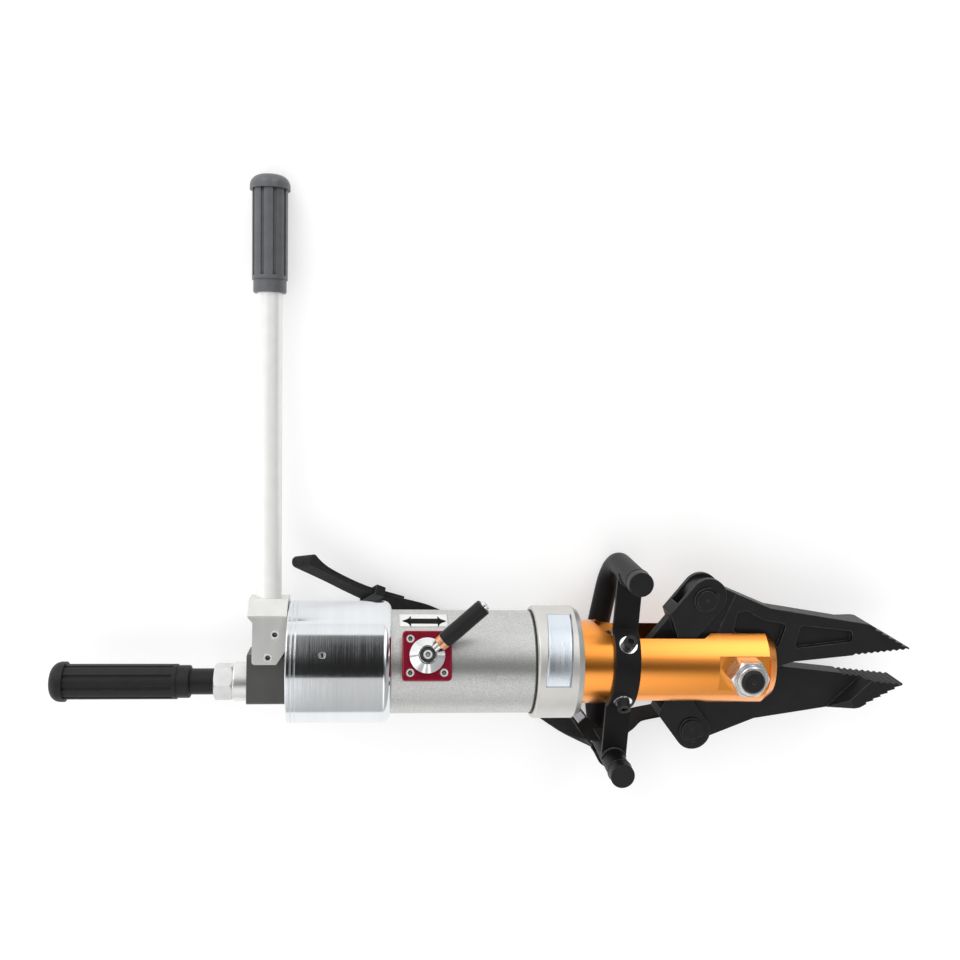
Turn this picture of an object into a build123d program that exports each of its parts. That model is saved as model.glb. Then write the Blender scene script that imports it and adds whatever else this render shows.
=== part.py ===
"""Hand-pumped hydraulic rescue cutter-spreader, lying on its back with its pump lever out to the side."""
import math
import os

from build123d import *

# Sizes are in millimetres and degrees. X runs along the tool's axis from the reservoir's rear face to the
# jaws, +Y is the pump lever's side and +Z is the side that faces up.

# Room between pieces
FIT = 0.05  # radial, round pieces pushed or running in one another
GAP = 0.3  # faces that pass each other
OPEN_PIVOT_ROOM = 2.0  # radial, link eyes round the crosshead pin

# Reservoir and pump
RESERVOIR_LENGTH = 87.0
RESERVOIR_STEP = 7.6  # over the barrel's skin
RESERVOIR_WALL = 3.5
RESERVOIR_ROUND = 8.0
RESERVOIR_GROOVES = (3.8, 7.2)  # behind the front, from the rear face
GROOVE_DEPTH = 0.6
END_PLATE_THICKNESS = 10.0
END_SCREW_PLACE = (26.0, 30.0)
END_SCREW_RADIUS = 3.0
END_SCREW_DEPTH = 10.0  # in the pump body
END_SCREW_HEAD = 5.0  # radius and height
END_SCREW_SINK = 5.4
PUMP_BODY_RADIUS = 40.0
PLUNGER_RADIUS = 7.0
GLAND_WALL = 2.5
GLAND_FLANGE = 2.0
GLAND_HEAD = 5.0
PLUNGER_HEIGHT = 25.2  # above the tool's axis
PLUNGER_LENGTH = 34.0  # inside the pump body with the lever upright
PUMP_CHAMBER = 8.5  # in front of the plunger
CHECK_VALVE_RADIUS = 4.0
CHECK_VALVE_LENGTH = 6.0

# Rear block and handle
REAR_BLOCK_LENGTH = 34.0
REAR_BLOCK_BOTTOM = -33.4
REAR_BLOCK_TOP = 8.8
REAR_BLOCK_EDGE = 1.5
REAR_HANDLE_HEIGHT = -17.6
REAR_ROD_RADIUS = 11.0
REAR_STUD_RADIUS = 9.0
REAR_STUD_DEPTH = 22.0
SLEEVE_LENGTH = 12.3
SLEEVE_RADIUS = 16.5
LOCK_NUT_HEIGHT = 15.4
LOCK_NUT_FLATS = 28.0
ROD_BARE_LENGTH = 20.2  # Fluted grips, one on the pump lever and one on the rear handle
GRIP_LENGTH = 114.6
LEVER_GRIP_LENGTH = 97.5
GRIP_RADIUS = 14.8
GRIP_BAND_RADIUS = 13.8
GRIP_BAND_LENGTH = 11.0
GRIP_CAP_RADIUS = 16.8
GRIP_CAP_LENGTH = 12.0
GRIP_END_WALL = 8.0
FLUTE_COUNT = 9
FLUTE_RADIUS = 1.5

# Pump lever
LEVER_PIVOT = (-16.0, 7.8)
DRIVE_PIN = (-10.5, 27.3)
LEVER_PIN_RADIUS = 4.0
LEVER_TUBE_STATION = -17.0
LEVER_TUBE_RADIUS = 10.7
LEVER_TUBE_WALL = 2.0
LEVER_REACH = 410.3  # from the tool's axis to the grip's end
LEVER_TUBE_TILT = 0.65  # back from square to the tool
LEVER_SOCKET_DEPTH = 12.0
CHEEK_INNER = 17.3
CHEEK_OUTER = 22.3
FORK_BACK = -29.2
FORK_FRONT = -0.6
FORK_TOE = (-9.0, 13.4)  # start of the sloping toe, and its height
FORK_BOTTOM = 1.8
FORK_SHOULDER = 41.6
FORK_TOP = 55.6
FORK_HEAD_BACK = -33.2
FORK_HEAD_WIDTH = 46.0
FORK_HEAD_TOP_WIDTH = 23.0
EAR_RADIUS = 9.5
TONGUE_HALF = 6.0  # half the thickness of the plunger's slotted tongue
DRIVE_SLOT_ROOM = 0.75
DRIVE_SLOT_TRAVEL = 7.0

# Barrel, piston and rod
BARREL_LENGTH = 122.5  # from the reservoir's front to the collar
BARREL_RADIUS = 44.4
BARREL_TAIL = 25.0  # inside the reservoir
BARREL_NOSE = 16.0  # inside the collar
RELIEF_GROOVE = (1.8, 1.5)  # width and depth, behind the collar
CYLINDER_RADIUS = 34.0
CYLINDER_LENGTH = 96.0
PISTON_LENGTH = 18.0
PISTON_ROOM = 12.0  # in front of the piston at rest
ROD_RADIUS = 15.0
GLAND_LENGTH = 24.0
SEAL_WIDTH = 5.0
SEAL_DEPTH = 4.0

# Selector valve
VALVE_STATION = 116.0
VALVE_ANGLE = 24.0  # round the barrel, from +Z towards the lever
VALVE_STAND = 4.6  # over the barrel's skin
VALVE_SIZE = 41.0
VALVE_CORNER = 3.0
VALVE_SCREW_PITCH = 28.0
VALVE_SCREW_RADIUS = 2.0
VALVE_SCREW_DEPTH = 7.4  # in the barrel, under its crown
VALVE_SCREW_HEAD = (3.5, 3.4)  # radius and height
VALVE_SCREW_SINK = 4.0
SPOOL_RADIUS = 6.0
SPOOL_BOTTOM = 12.0
HUB_RADIUS = 14.8
HUB_RIM = 1.6
HUB_HEIGHT = 8.0
HUB_TOP_RADIUS = 6.6
HUB_RECESS = 1.6
HUB_SCREW_HEAD = (3.7, 2.8)
STEM_TURN = 40.0  # from +X, round the valve's axis
STEM_RISE = 20.0
STEM_RADIUS = 3.2
FERRULE_START = 14.0
FERRULE_LENGTH = 5.0
FERRULE_RADIUS = 6.4
VALVE_GRIP_LENGTH = 43.0
VALVE_GRIP_RADIUS = 7.0
GRIP_SCREW_HEAD = (4.2, 2.6)
GRIP_SCREW_DEPTH = 11.0
BLEED_STATION = 30.0
BLEED_RADIUS = 2.6

# Collar and yoke
COLLAR_LENGTH = 40.0
COLLAR_WALL = 4.6  # over the barrel
COLLAR_LIP = 8.0
COLLAR_CHAMFER = 5.0
YOKE_LENGTH = 174.0  # in front of the collar
YOKE_RADIUS = 36.6
FLANGE_ROOM = 0.4  # of its flange inside the collar
YOKE_BACK_WALL = 9.0
YOKE_NOSE_LENGTH = 8.0
YOKE_NOSE_DROP = 5.0
GUIDE_WALL = 9.1  # round the crosshead's bore
LINK_SLOT_ROOM = 0.5  # each side
JAW_SLOT_ROOM = 0.6  # each side
SLOT_REACH = 15.5  # from the collar to the slot's round end
SLOT_STEP_REACH = 110.0  # from the collar to the narrowing
SLOT_STEP_LENGTH = 6.0
SLOT_STEP_ROUND = 5.0
PIVOT_REACH = 144.0  # from the collar to the jaws' pivot
PIVOT_RADIUS = 10.0
PIVOT_FLATS = 30.0
SEAT_DEPTH = 3.4
SEAT_LENGTH = 46.0
SEAT_OFFSET = 0.0
NUT_HEIGHT = 17.0
NUT_RING_HEIGHT = 4.5
NUT_RING_RADIUS = 13.2
BOLT_HEAD_HEIGHT = 12.5
BOLT_END = 2.5  # past the nut

# Jaws, drawn closed with the pivot at zero
JAW_THICKNESS = 18.0
JAW_REACH = 159.0
JAW_WAIST = (31.0, 51.4)
JAW_BROW = (122.5, 27.2)
JAW_TIP_HEIGHT = 2.0
JAW_MEETING = 0.2  # from the closing line
JAW_REST = 6.0
HUB_BOSS_RADIUS = 27.0
BLADE_HEEL = (21.5, -6.0)
BLADE_FRONT = 51.5
TIP_STEPS = 6
TIP_STEP_DEPTH = 1.7
GRIP_TEETH = 9
GRIP_TOOTH_DEPTH = 1.5
GRIP_TEETH_BACK = 106.0
TIP_DEPTH = 13.0  # of the tip block, past the closing jaw's layer
TIP_WALL = (125.0, 0.0)  # a point on the foot of the tip block's back wall
TIP_WALL_SLOPE = (0.78, 0.63, 0.30)
TIP_CORNER = (98.0, 35.0)  # a point on the foot of its bevelled corner
TIP_CORNER_SLOPE = (0.79, -0.61, 1.50)
POCKET_DEPTH = 5.0
REAR_POCKET = (
    (0.5, 50.0),
    (8.5, 51.5),
    (25.1, 41.0),
    (45.5, 35.5),
    (37.0, 14.5),
    (19.5, 21.0),
    (-3.5, 33.0),
)
FRONT_POCKET = ((58.5, 33.0), (105.5, 23.0), (106.5, 13.0), (51.5, 12.3))
POCKET_ROUND = 3.5
TAIL_SHELF = (-7.8, 52.5)  # a point on the edge of the lowered face under the link's cheek
TAIL_SHELF_TURN = 27.9
TAIL_SHELF_DEPTH = 1.5

# Links, drawn with the tail pin at zero and the crosshead pin along +X
TAIL_ARM = 71.4
TAIL_ANGLE = 113.05
TAIL_END_RADIUS = 15.0
LINK_LENGTH = 79.0
LINK_CHEEK = 4.7
LINK_END_RADIUS = 16.2
LINK_OVERHANG = 3.4  # of the rounded end's centre, past the tail pin
TONGUE_END_RADIUS = 14.0
TONGUE_WIDTH = 23.0
TONGUE_THICKNESS = 11.0
CROTCH = (18.5, 37.5)  # outer side, hub side
FORK_END = (29.5, 46.5)
TAIL_PIN_RADIUS = 8.8
CIRCLIP_THICKNESS = 1.5
CIRCLIP_INNER = 8.2
CIRCLIP_RADIUS = 10.9
CIRCLIP_EAR = 2.0
CIRCLIP_OPENING = 40.0
PIN_END = 1.5
PIN_DIMPLE = 1.0

# Crosshead
CROSSHEAD_BASE = 13.0
CROSSHEAD_NECK = 17.0  # from the pin back to the base
CROSSHEAD_EYE = 13.0
CROSSHEAD_PIN_RADIUS = 7.5
ROD_SPIGOT_RADIUS = 11.0
ROD_SPIGOT_LENGTH = 10.0

# Carry handle
HANDLE_REACH = 38.6  # from the collar to the handle's plane
HANDLE_TURN = -2.0  # of that plane from square to the tool
HANDLE_RADIUS = 10.2
HANDLE_WALL = 2.5
HANDLE_HALF_SPAN = 84.0
HANDLE_BAR_END = 43.5
HANDLE_BEND = 30.0
HANDLE_SET = 11.0  # of the middle of its cross run, towards the collar
PLUG_HEAD = 11.5
PLUG_RIM = 0.3  # past the tube
PLUG_ROUND = 1.2
PLUG_DEPTH = 12.0
STRIP_WIDTH = 22.0
STRIP_THICKNESS = 4.0
STRIP_WRAP = 61.0  # either side of +Z
CLAMP_SCREW_ANGLE = 38.0
CLAMP_SCREW_RADIUS = 3.0
CLAMP_SCREW_DEPTH = 4.0
CLAMP_HEAD_RADIUS = 5.6
CLAMP_HEAD_HEIGHT = 8.0
WASHER_RADIUS = 7.9
WASHER_THICKNESS = 1.8

# Strap and its lug
LUG_SIZE = 9.6
LUG_THICKNESS = 6.0
LUG_TURN = 38.0
LUG_PLACE = (5.6, 1.0, 6.0)  # ahead of the collar, inside its skin, above the axis
STRAP_WIDTH = 25.0
STRAP_THICKNESS = 2.0
STRAP_LOOP_LOW = -16.0
STRAP_FOLD = 8.0  # between the layers at the folded end
STRAP_SKEW = 5.0  # of the under layer, sideways, where it bows out most
STRAP_TAIL_LAYERS = 5  # stations of the layer that comes back from the fold
SLIDER_LENGTH = 9.0
SLIDER_WALL = 1.3
SLIDER_STATION = 3  # counted from the fold

# Stations worked out from the sizes above
RESERVOIR_RADIUS = BARREL_RADIUS + RESERVOIR_STEP
COLLAR_RADIUS = BARREL_RADIUS + COLLAR_WALL
VALVE_TOP = BARREL_RADIUS + VALVE_STAND
YOKE_FLANGE_RADIUS = BARREL_RADIUS - FLANGE_ROOM
YOKE_NOSE_RADIUS = YOKE_RADIUS - YOKE_NOSE_DROP
GUIDE_RADIUS = YOKE_RADIUS - GUIDE_WALL
SEAT_HEIGHT = YOKE_RADIUS - SEAT_DEPTH
JAW_SLOT = 2 * (JAW_THICKNESS + JAW_SLOT_ROOM)
LINK_SLOT = 2 * (JAW_THICKNESS + GAP + LINK_CHEEK + LINK_SLOT_ROOM)
BARREL_BACK = RESERVOIR_LENGTH - BARREL_TAIL
COLLAR_BACK = RESERVOIR_LENGTH + BARREL_LENGTH
COLLAR_FRONT = COLLAR_BACK + COLLAR_LENGTH
BARREL_FRONT = COLLAR_BACK + BARREL_NOSE
CYLINDER_BACK = BARREL_FRONT - CYLINDER_LENGTH
GLAND_BACK = BARREL_FRONT - GLAND_LENGTH
FLANGE_FRONT = COLLAR_FRONT - COLLAR_LIP
YOKE_FRONT = COLLAR_FRONT + YOKE_LENGTH
PIVOT_X = COLLAR_FRONT + PIVOT_REACH
HANDLE_X = COLLAR_FRONT + HANDLE_REACH
PISTON_FRONT = GLAND_BACK - PISTON_ROOM
SLEEVE_BACK = -REAR_BLOCK_LENGTH - SLEEVE_LENGTH
LOCK_NUT_BACK = SLEEVE_BACK - LOCK_NUT_HEIGHT
REAR_GRIP_FRONT = LOCK_NUT_BACK - ROD_BARE_LENGTH
HANDLE_DEPTH = YOKE_RADIUS + FIT + HANDLE_RADIUS
FLOOR = -max(HANDLE_DEPTH + HANDLE_RADIUS, RESERVOIR_RADIUS)
LEVER_CAP_REACH = LEVER_REACH - GRIP_CAP_LENGTH / 2
LEAN = math.degrees(
    math.asin((-FLOOR - GAP) / math.hypot(LEVER_CAP_REACH, GRIP_CAP_RADIUS))
    - math.atan2(GRIP_CAP_RADIUS, LEVER_CAP_REACH)
)
TAIL_REST = math.radians(TAIL_ANGLE + JAW_REST)
TAIL_PIN = (TAIL_ARM * math.cos(TAIL_REST), TAIL_ARM * math.sin(TAIL_REST))
LINK_RUN = math.sqrt(LINK_LENGTH**2 - TAIL_PIN[1] ** 2)
LINK_ANGLE = math.degrees(math.atan2(TAIL_PIN[1], LINK_RUN))
CROSSHEAD_X = PIVOT_X + TAIL_PIN[0] - LINK_RUN

# Frames that groups of pieces are drawn in
PUMP = Rot(-LEAN, 0, 0)
VALVE = Rot(-VALVE_ANGLE, 0, 0) * Pos(VALVE_STATION, 0, 0)
HANDLE = Pos(HANDLE_X, 0, 0) * Rot(0, 0, HANDLE_TURN)
UPPER_SIDE = Pos(PIVOT_X, 0, 0)
LOWER_SIDE = UPPER_SIDE * Rot(180, 0, 0)

LOW_END = (Align.CENTER, Align.CENTER, Align.MIN)
parts = {}


def rod(start, end, radius, y=0.0, z=0.0):
    """A round bar along X between two stations."""
    return Pos(start, y, z) * Rot(0, 90, 0) * Cylinder(radius, end - start, align=LOW_END)


def post(x, y, low, high, radius):
    """A round bar along Z between two heights."""
    return Pos(x, y, low) * Cylinder(radius, high - low, align=LOW_END)


def ring(start, end, outer, inner, y=0.0):
    """A tube along X between two stations."""
    return rod(start, end, outer, y) - rod(start, end, inner, y)


def rounded(face, corners):
    """A face with some of its corners, given as (x, y, radius), rounded."""
    for x, y, radius in corners:
        face = fillet(face.vertices().sort_by_distance((x, y, 0))[0], radius)
    return face


def outline(points):
    """A flat face inside a closed run of straight edges."""
    return make_face(Polyline(*points, close=True))


def slab(face, low, high):
    """A plate of one outline between two heights."""
    return Pos(0, 0, low) * extrude(face, amount=high - low, dir=(0, 0, 1))


def hexagon(flats, low, high):
    """A hexagonal bar along Z, corners towards X."""
    return slab(RegularPolygon(flats / 2, 6, major_radius=False), low, high)


def cap_screw(head_radius, head_height, shank_radius, shank_length):
    """A socket screw along Z with the seat of its head at zero."""
    screw = post(0, 0, 0, head_height, head_radius) + post(0, 0, -shank_length, 0, shank_radius)
    return screw - hexagon(head_radius, head_height / 2, head_height)


def grip(length, bore):
    """Fluted rubber grip along X: plain band round the open end at zero, domed cap at the far end."""
    cap_back = length - GRIP_CAP_LENGTH
    blind = length - GRIP_END_WALL
    profile = outline(
        [
            (0, bore),
            (0, GRIP_BAND_RADIUS),
            (GRIP_BAND_LENGTH, GRIP_BAND_RADIUS),
            (GRIP_BAND_LENGTH, GRIP_RADIUS),
            (cap_back, GRIP_RADIUS),
            (cap_back, GRIP_CAP_RADIUS),
            (length, GRIP_CAP_RADIUS),
            (length, 0),
            (blind, 0),
            (blind, bore),
        ]
    )
    corners = [(length, GRIP_CAP_RADIUS, GRIP_CAP_LENGTH * 0.75), (0, GRIP_BAND_RADIUS, 1.5)]
    body = revolve(rounded(profile, corners), Axis.X)
    flute = rod(GRIP_BAND_LENGTH + 2 * FLUTE_RADIUS, cap_back, FLUTE_RADIUS, GRIP_RADIUS)
    for index in range(FLUTE_COUNT):
        body -= Rot(360 * index / FLUTE_COUNT, 0, 0) * flute
    return body


def reservoir():
    """Chromed cover, end plate, pump body and what they hold."""
    inner = RESERVOIR_RADIUS - RESERVOIR_WALL
    front_wall = RESERVOIR_LENGTH - RESERVOIR_WALL
    hole = BARREL_RADIUS + FIT
    profile = outline(
        [
            (0, inner),
            (0, RESERVOIR_RADIUS),
            (RESERVOIR_LENGTH, RESERVOIR_RADIUS),
            (RESERVOIR_LENGTH, hole),
            (front_wall, hole),
            (front_wall, inner),
        ]
    )
    front_round = min(RESERVOIR_ROUND, RESERVOIR_RADIUS - hole - 0.5)
    corners = [(RESERVOIR_LENGTH, RESERVOIR_RADIUS, front_round), (0, RESERVOIR_RADIUS, 1.2)]
    cover = revolve(rounded(profile, corners), Axis.X)
    for station in RESERVOIR_GROOVES:
        cover -= ring(station, station + 0.8, RESERVOIR_RADIUS + 1, RESERVOIR_RADIUS - GROOVE_DEPTH)
    bleed = Rot(-VALVE_ANGLE, 0, 0) * Pos(BLEED_STATION, 0, inner)
    parts["reservoir_cover"] = cover - bleed * post(0, 0, -1, RESERVOIR_WALL + 1, BLEED_RADIUS + FIT)
    plug = post(0, 0, 0, RESERVOIR_WALL - 0.4, BLEED_RADIUS)
    parts["bleed_screw"] = bleed * (plug - hexagon(BLEED_RADIUS, 1, RESERVOIR_WALL))

    gland_radius = PLUNGER_RADIUS + GLAND_WALL
    flange_radius = gland_radius + GLAND_FLANGE
    plate = rod(0, END_PLATE_THICKNESS, inner - FIT)
    plate -= rod(-1, END_PLATE_THICKNESS + 1, gland_radius + FIT, PLUNGER_HEIGHT)
    body = rod(END_PLATE_THICKNESS, BARREL_BACK, PUMP_BODY_RADIUS)
    bore_end = END_PLATE_THICKNESS + PLUNGER_LENGTH + PUMP_CHAMBER
    body -= rod(END_PLATE_THICKNESS, bore_end, PLUNGER_RADIUS + FIT, PLUNGER_HEIGHT)
    body -= rod(END_PLATE_THICKNESS, END_PLATE_THICKNESS + SEAL_DEPTH, gland_radius + FIT, PLUNGER_HEIGHT)
    outlet = rod(bore_end, bore_end + CHECK_VALVE_LENGTH, CHECK_VALVE_RADIUS + FIT, PLUNGER_HEIGHT)
    inlet_x = bore_end - PUMP_CHAMBER / 2
    inlet_low = PUMP_BODY_RADIUS - CHECK_VALVE_LENGTH
    valves = rod(bore_end, bore_end + CHECK_VALVE_LENGTH, CHECK_VALVE_RADIUS, PLUNGER_HEIGHT)
    side = Pos(inlet_x, 0, 0) * Rot(-90, 0, 0)
    inlet = side * post(0, 0, inlet_low, PUMP_BODY_RADIUS, CHECK_VALVE_RADIUS)
    body -= outlet
    body -= side * post(0, 0, inlet_low, PUMP_BODY_RADIUS + 5, CHECK_VALVE_RADIUS + FIT)
    screws = []
    for y in (-1, 1):
        for z in (-1, 1):
            place = Pos(END_SCREW_SINK, END_SCREW_PLACE[0] * y, END_SCREW_PLACE[1] * z) * Rot(0, -90, 0)
            length = END_PLATE_THICKNESS - END_SCREW_SINK + END_SCREW_DEPTH
            plate -= place * post(0, 0, -length, 1, END_SCREW_RADIUS + FIT)
            plate -= place * post(0, 0, 0, END_SCREW_SINK + 1, END_SCREW_HEAD + 2 * FIT)
            body -= place * post(0, 0, -length - 2, 0, END_SCREW_RADIUS + FIT)
            screws.append(place * cap_screw(END_SCREW_HEAD, END_SCREW_HEAD, END_SCREW_RADIUS, length))
    parts["reservoir_end_plate"] = PUMP * plate
    parts["pump_body"] = PUMP * body
    parts["end_plate_screws"] = PUMP * Compound(screws)
    parts["check_valves"] = PUMP * Compound([valves, inlet])
    gland = rod(0, END_PLATE_THICKNESS, gland_radius, PLUNGER_HEIGHT)
    gland += rod(-GLAND_HEAD, 0, flange_radius, PLUNGER_HEIGHT)
    gland -= rod(-GLAND_HEAD - 1, END_PLATE_THICKNESS + 1, PLUNGER_RADIUS + FIT, PLUNGER_HEIGHT)
    parts["plunger_gland"] = PUMP * gland
    seal = ring(0, SEAL_DEPTH, gland_radius, PLUNGER_RADIUS + FIT, PLUNGER_HEIGHT)
    parts["plunger_seal"] = PUMP * Pos(END_PLATE_THICKNESS, 0, 0) * seal


def rear_handle():
    """Block behind the reservoir, and the handle that screws into it."""
    back = -REAR_BLOCK_LENGTH
    half = CHEEK_INNER - GAP
    low, top = REAR_BLOCK_BOTTOM, REAR_BLOCK_TOP
    block = slab(outline([(back, low), (0, low), (0, top), (back, top)]), -half, half)
    block = chamfer(block.edges().filter_by(Axis.X), REAR_BLOCK_EDGE)
    pivot_x, pivot_y = LEVER_PIVOT
    block += post(pivot_x, pivot_y, -half, half, EAR_RADIUS)
    slot = outline([(back - 1, top), (1, top), (1, FORK_TOP), (back - 1, FORK_TOP)])
    block -= slab(slot, -TONGUE_HALF - GAP, TONGUE_HALF + GAP)
    block -= post(pivot_x, pivot_y, -half, half, LEVER_PIN_RADIUS + FIT)
    block -= rod(back, back + REAR_STUD_DEPTH, REAR_STUD_RADIUS + FIT, REAR_HANDLE_HEIGHT)
    parts["rear_block"] = PUMP * block
    bore = REAR_STUD_RADIUS + FIT
    sleeve = [(SLEEVE_BACK, bore), (SLEEVE_BACK, SLEEVE_RADIUS), (back, SLEEVE_RADIUS), (back, bore)]
    sleeve = revolve(rounded(outline(sleeve), [(SLEEVE_BACK, SLEEVE_RADIUS, 2.0)]), Axis.X)
    place = PUMP * Pos(0, REAR_HANDLE_HEIGHT, 0)
    parts["rear_sleeve"] = place * sleeve
    nut = Pos(LOCK_NUT_BACK, 0, 0) * Rot(0, 90, 0) * hexagon(LOCK_NUT_FLATS, 0, LOCK_NUT_HEIGHT)
    corner = LOCK_NUT_FLATS / math.sqrt(3)
    crown = outline(
        [
            (LOCK_NUT_BACK, 0),
            (LOCK_NUT_BACK, LOCK_NUT_FLATS / 2),
            (LOCK_NUT_BACK + 1.4, corner),
            (SLEEVE_BACK - 1.4, corner),
            (SLEEVE_BACK, LOCK_NUT_FLATS / 2),
            (SLEEVE_BACK, 0),
        ]
    )
    nut = (nut & revolve(crown, Axis.X)) - rod(LOCK_NUT_BACK, SLEEVE_BACK, bore)
    parts["rear_lock_nut"] = place * nut
    grip_back = REAR_GRIP_FRONT - GRIP_LENGTH
    handle = rod(grip_back + GRIP_END_WALL, LOCK_NUT_BACK, REAR_ROD_RADIUS)
    handle += rod(LOCK_NUT_BACK, back + REAR_STUD_DEPTH, REAR_STUD_RADIUS)
    parts["rear_handle_rod"] = place * handle
    rear_grip = Rot(0, 0, 180) * grip(GRIP_LENGTH, REAR_ROD_RADIUS + FIT)
    parts["rear_grip"] = place * Pos(REAR_GRIP_FRONT, 0, 0) * rear_grip


def pump_lever():
    """Fork, tube and grip of the lever, its two pins, and the plunger that it drives."""
    cheek = outline(
        [
            (FORK_BACK, FORK_BOTTOM),
            (FORK_TOE[0], FORK_BOTTOM),
            (FORK_FRONT, FORK_BOTTOM + FORK_TOE[1]),
            (FORK_FRONT, FORK_SHOULDER),
            (FORK_HEAD_BACK, FORK_SHOULDER),
            (FORK_BACK, FORK_SHOULDER - 4.5),
        ]
    )
    cheek = rounded(cheek, [(FORK_BACK, FORK_BOTTOM, 2.5)])
    fork = slab(cheek, -CHEEK_OUTER, CHEEK_OUTER) - slab(cheek, -CHEEK_INNER, CHEEK_INNER)
    wide, narrow = FORK_HEAD_WIDTH / 2, FORK_HEAD_TOP_WIDTH / 2
    head = [(FORK_SHOULDER, -wide), (FORK_SHOULDER, wide), (FORK_SHOULDER + 1.5, wide), (FORK_TOP, narrow)]
    head += [(FORK_TOP, -narrow), (FORK_SHOULDER + 1.5, -wide)]
    section = Plane.YZ.offset(FORK_HEAD_BACK) * outline(head)
    fork += extrude(section, amount=FORK_FRONT - FORK_HEAD_BACK, dir=(1, 0, 0))
    tube_low = FORK_TOP - LEVER_SOCKET_DEPTH
    upright = Pos(LEVER_TUBE_STATION, 0, 0) * Rot(0, 0, LEVER_TUBE_TILT) * Rot(-90, 0, 0)
    fork -= upright * post(0, 0, tube_low, FORK_TOP + 1, LEVER_TUBE_RADIUS + FIT)
    for x, y in (LEVER_PIVOT, DRIVE_PIN):
        fork -= post(x, y, -CHEEK_OUTER, CHEEK_OUTER, LEVER_PIN_RADIUS + FIT)
    parts["lever_fork"] = PUMP * fork
    tube_high = LEVER_REACH - GRIP_END_WALL
    tube = post(0, 0, tube_low, tube_high, LEVER_TUBE_RADIUS)
    tube -= post(0, 0, tube_low, tube_high, LEVER_TUBE_RADIUS - LEVER_TUBE_WALL)
    parts["lever_tube"] = PUMP * upright * tube
    grip_low = Pos(0, 0, LEVER_REACH - LEVER_GRIP_LENGTH) * Rot(0, -90, 0)
    parts["lever_grip"] = PUMP * upright * grip_low * grip(LEVER_GRIP_LENGTH, LEVER_TUBE_RADIUS + FIT)
    pin = post(0, 0, -CHEEK_OUTER, CHEEK_OUTER, LEVER_PIN_RADIUS)
    for side in (0, 180):
        pin -= Rot(side, 0, 0) * hexagon(LEVER_PIN_RADIUS, CHEEK_OUTER - 3, CHEEK_OUTER)
    parts["lever_pivot_pin"] = PUMP * Pos(*LEVER_PIVOT) * pin
    parts["plunger_drive_pin"] = PUMP * Pos(*DRIVE_PIN) * pin
    drive_x = DRIVE_PIN[0]
    slot_half = LEVER_PIN_RADIUS + DRIVE_SLOT_ROOM
    tongue_back, tongue_front = drive_x - slot_half - 3, -6.0
    half_height = slot_half + DRIVE_SLOT_TRAVEL / 2 + 2.5
    tongue = outline(
        [
            (tongue_back, PLUNGER_HEIGHT - half_height),
            (drive_x + slot_half, PLUNGER_HEIGHT - half_height),
            (tongue_front + 1, PLUNGER_HEIGHT - PLUNGER_RADIUS),
            (tongue_front + 1, PLUNGER_HEIGHT + PLUNGER_RADIUS),
            (drive_x + slot_half, PLUNGER_HEIGHT + half_height),
            (tongue_back, PLUNGER_HEIGHT + half_height),
        ]
    )
    plunger = slab(tongue, -TONGUE_HALF, TONGUE_HALF)
    plunger += rod(tongue_front, END_PLATE_THICKNESS + PLUNGER_LENGTH, PLUNGER_RADIUS, PLUNGER_HEIGHT)
    slot = Rot(0, 0, 90) * SlotOverall(DRIVE_SLOT_TRAVEL + 2 * slot_half, 2 * slot_half)
    plunger -= Pos(drive_x, PLUNGER_HEIGHT, 0) * slab(slot, -TONGUE_HALF - 1, TONGUE_HALF + 1)
    parts["plunger"] = PUMP * plunger


def cylinder():
    """Barrel with its blind bore, piston, rod, gland and seals."""
    barrel = rod(BARREL_BACK, BARREL_FRONT, BARREL_RADIUS)
    barrel -= rod(CYLINDER_BACK, BARREL_FRONT, CYLINDER_RADIUS)
    relief_width, relief_depth = RELIEF_GROOVE
    relief_radius = BARREL_RADIUS - relief_depth
    barrel -= ring(COLLAR_BACK - relief_width, COLLAR_BACK, BARREL_RADIUS + 1, relief_radius)
    barrel -= VALVE * post(0, 0, SPOOL_BOTTOM, VALVE_TOP, SPOOL_RADIUS + FIT)
    for place in valve_screw_places():
        screw_end = BARREL_RADIUS - VALVE_SCREW_DEPTH
        barrel -= VALVE * place * post(0, 0, screw_end - 1, VALVE_TOP, VALVE_SCREW_RADIUS + FIT)
    parts["barrel"] = barrel
    piston_back = PISTON_FRONT - PISTON_LENGTH
    groove_back = piston_back + (PISTON_LENGTH - SEAL_WIDTH) / 2
    groove_radius = CYLINDER_RADIUS - SEAL_DEPTH
    piston = rod(piston_back, PISTON_FRONT, CYLINDER_RADIUS - GAP)
    piston -= ring(groove_back, groove_back + SEAL_WIDTH, CYLINDER_RADIUS, groove_radius)
    piston -= rod(piston_back + 5, PISTON_FRONT, ROD_SPIGOT_RADIUS + FIT)
    parts["piston"] = piston
    seal = ring(groove_back, groove_back + SEAL_WIDTH, CYLINDER_RADIUS - FIT, groove_radius + FIT)
    parts["piston_seal"] = seal
    base_back = CROSSHEAD_X - CROSSHEAD_NECK - CROSSHEAD_BASE
    piston_rod = rod(PISTON_FRONT, base_back, ROD_RADIUS)
    piston_rod += rod(piston_back + 5, base_back + ROD_SPIGOT_LENGTH, ROD_SPIGOT_RADIUS)
    parts["piston_rod"] = piston_rod
    seal_back = GLAND_BACK + GLAND_LENGTH / 4
    groove = ring(seal_back, seal_back + SEAL_WIDTH, ROD_RADIUS + SEAL_DEPTH, ROD_RADIUS)
    parts["rod_gland"] = ring(GLAND_BACK, BARREL_FRONT, CYLINDER_RADIUS - FIT, ROD_RADIUS + FIT) - groove
    seal = ring(seal_back, seal_back + SEAL_WIDTH, ROD_RADIUS + SEAL_DEPTH - FIT, ROD_RADIUS + FIT)
    parts["rod_seal"] = seal


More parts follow.
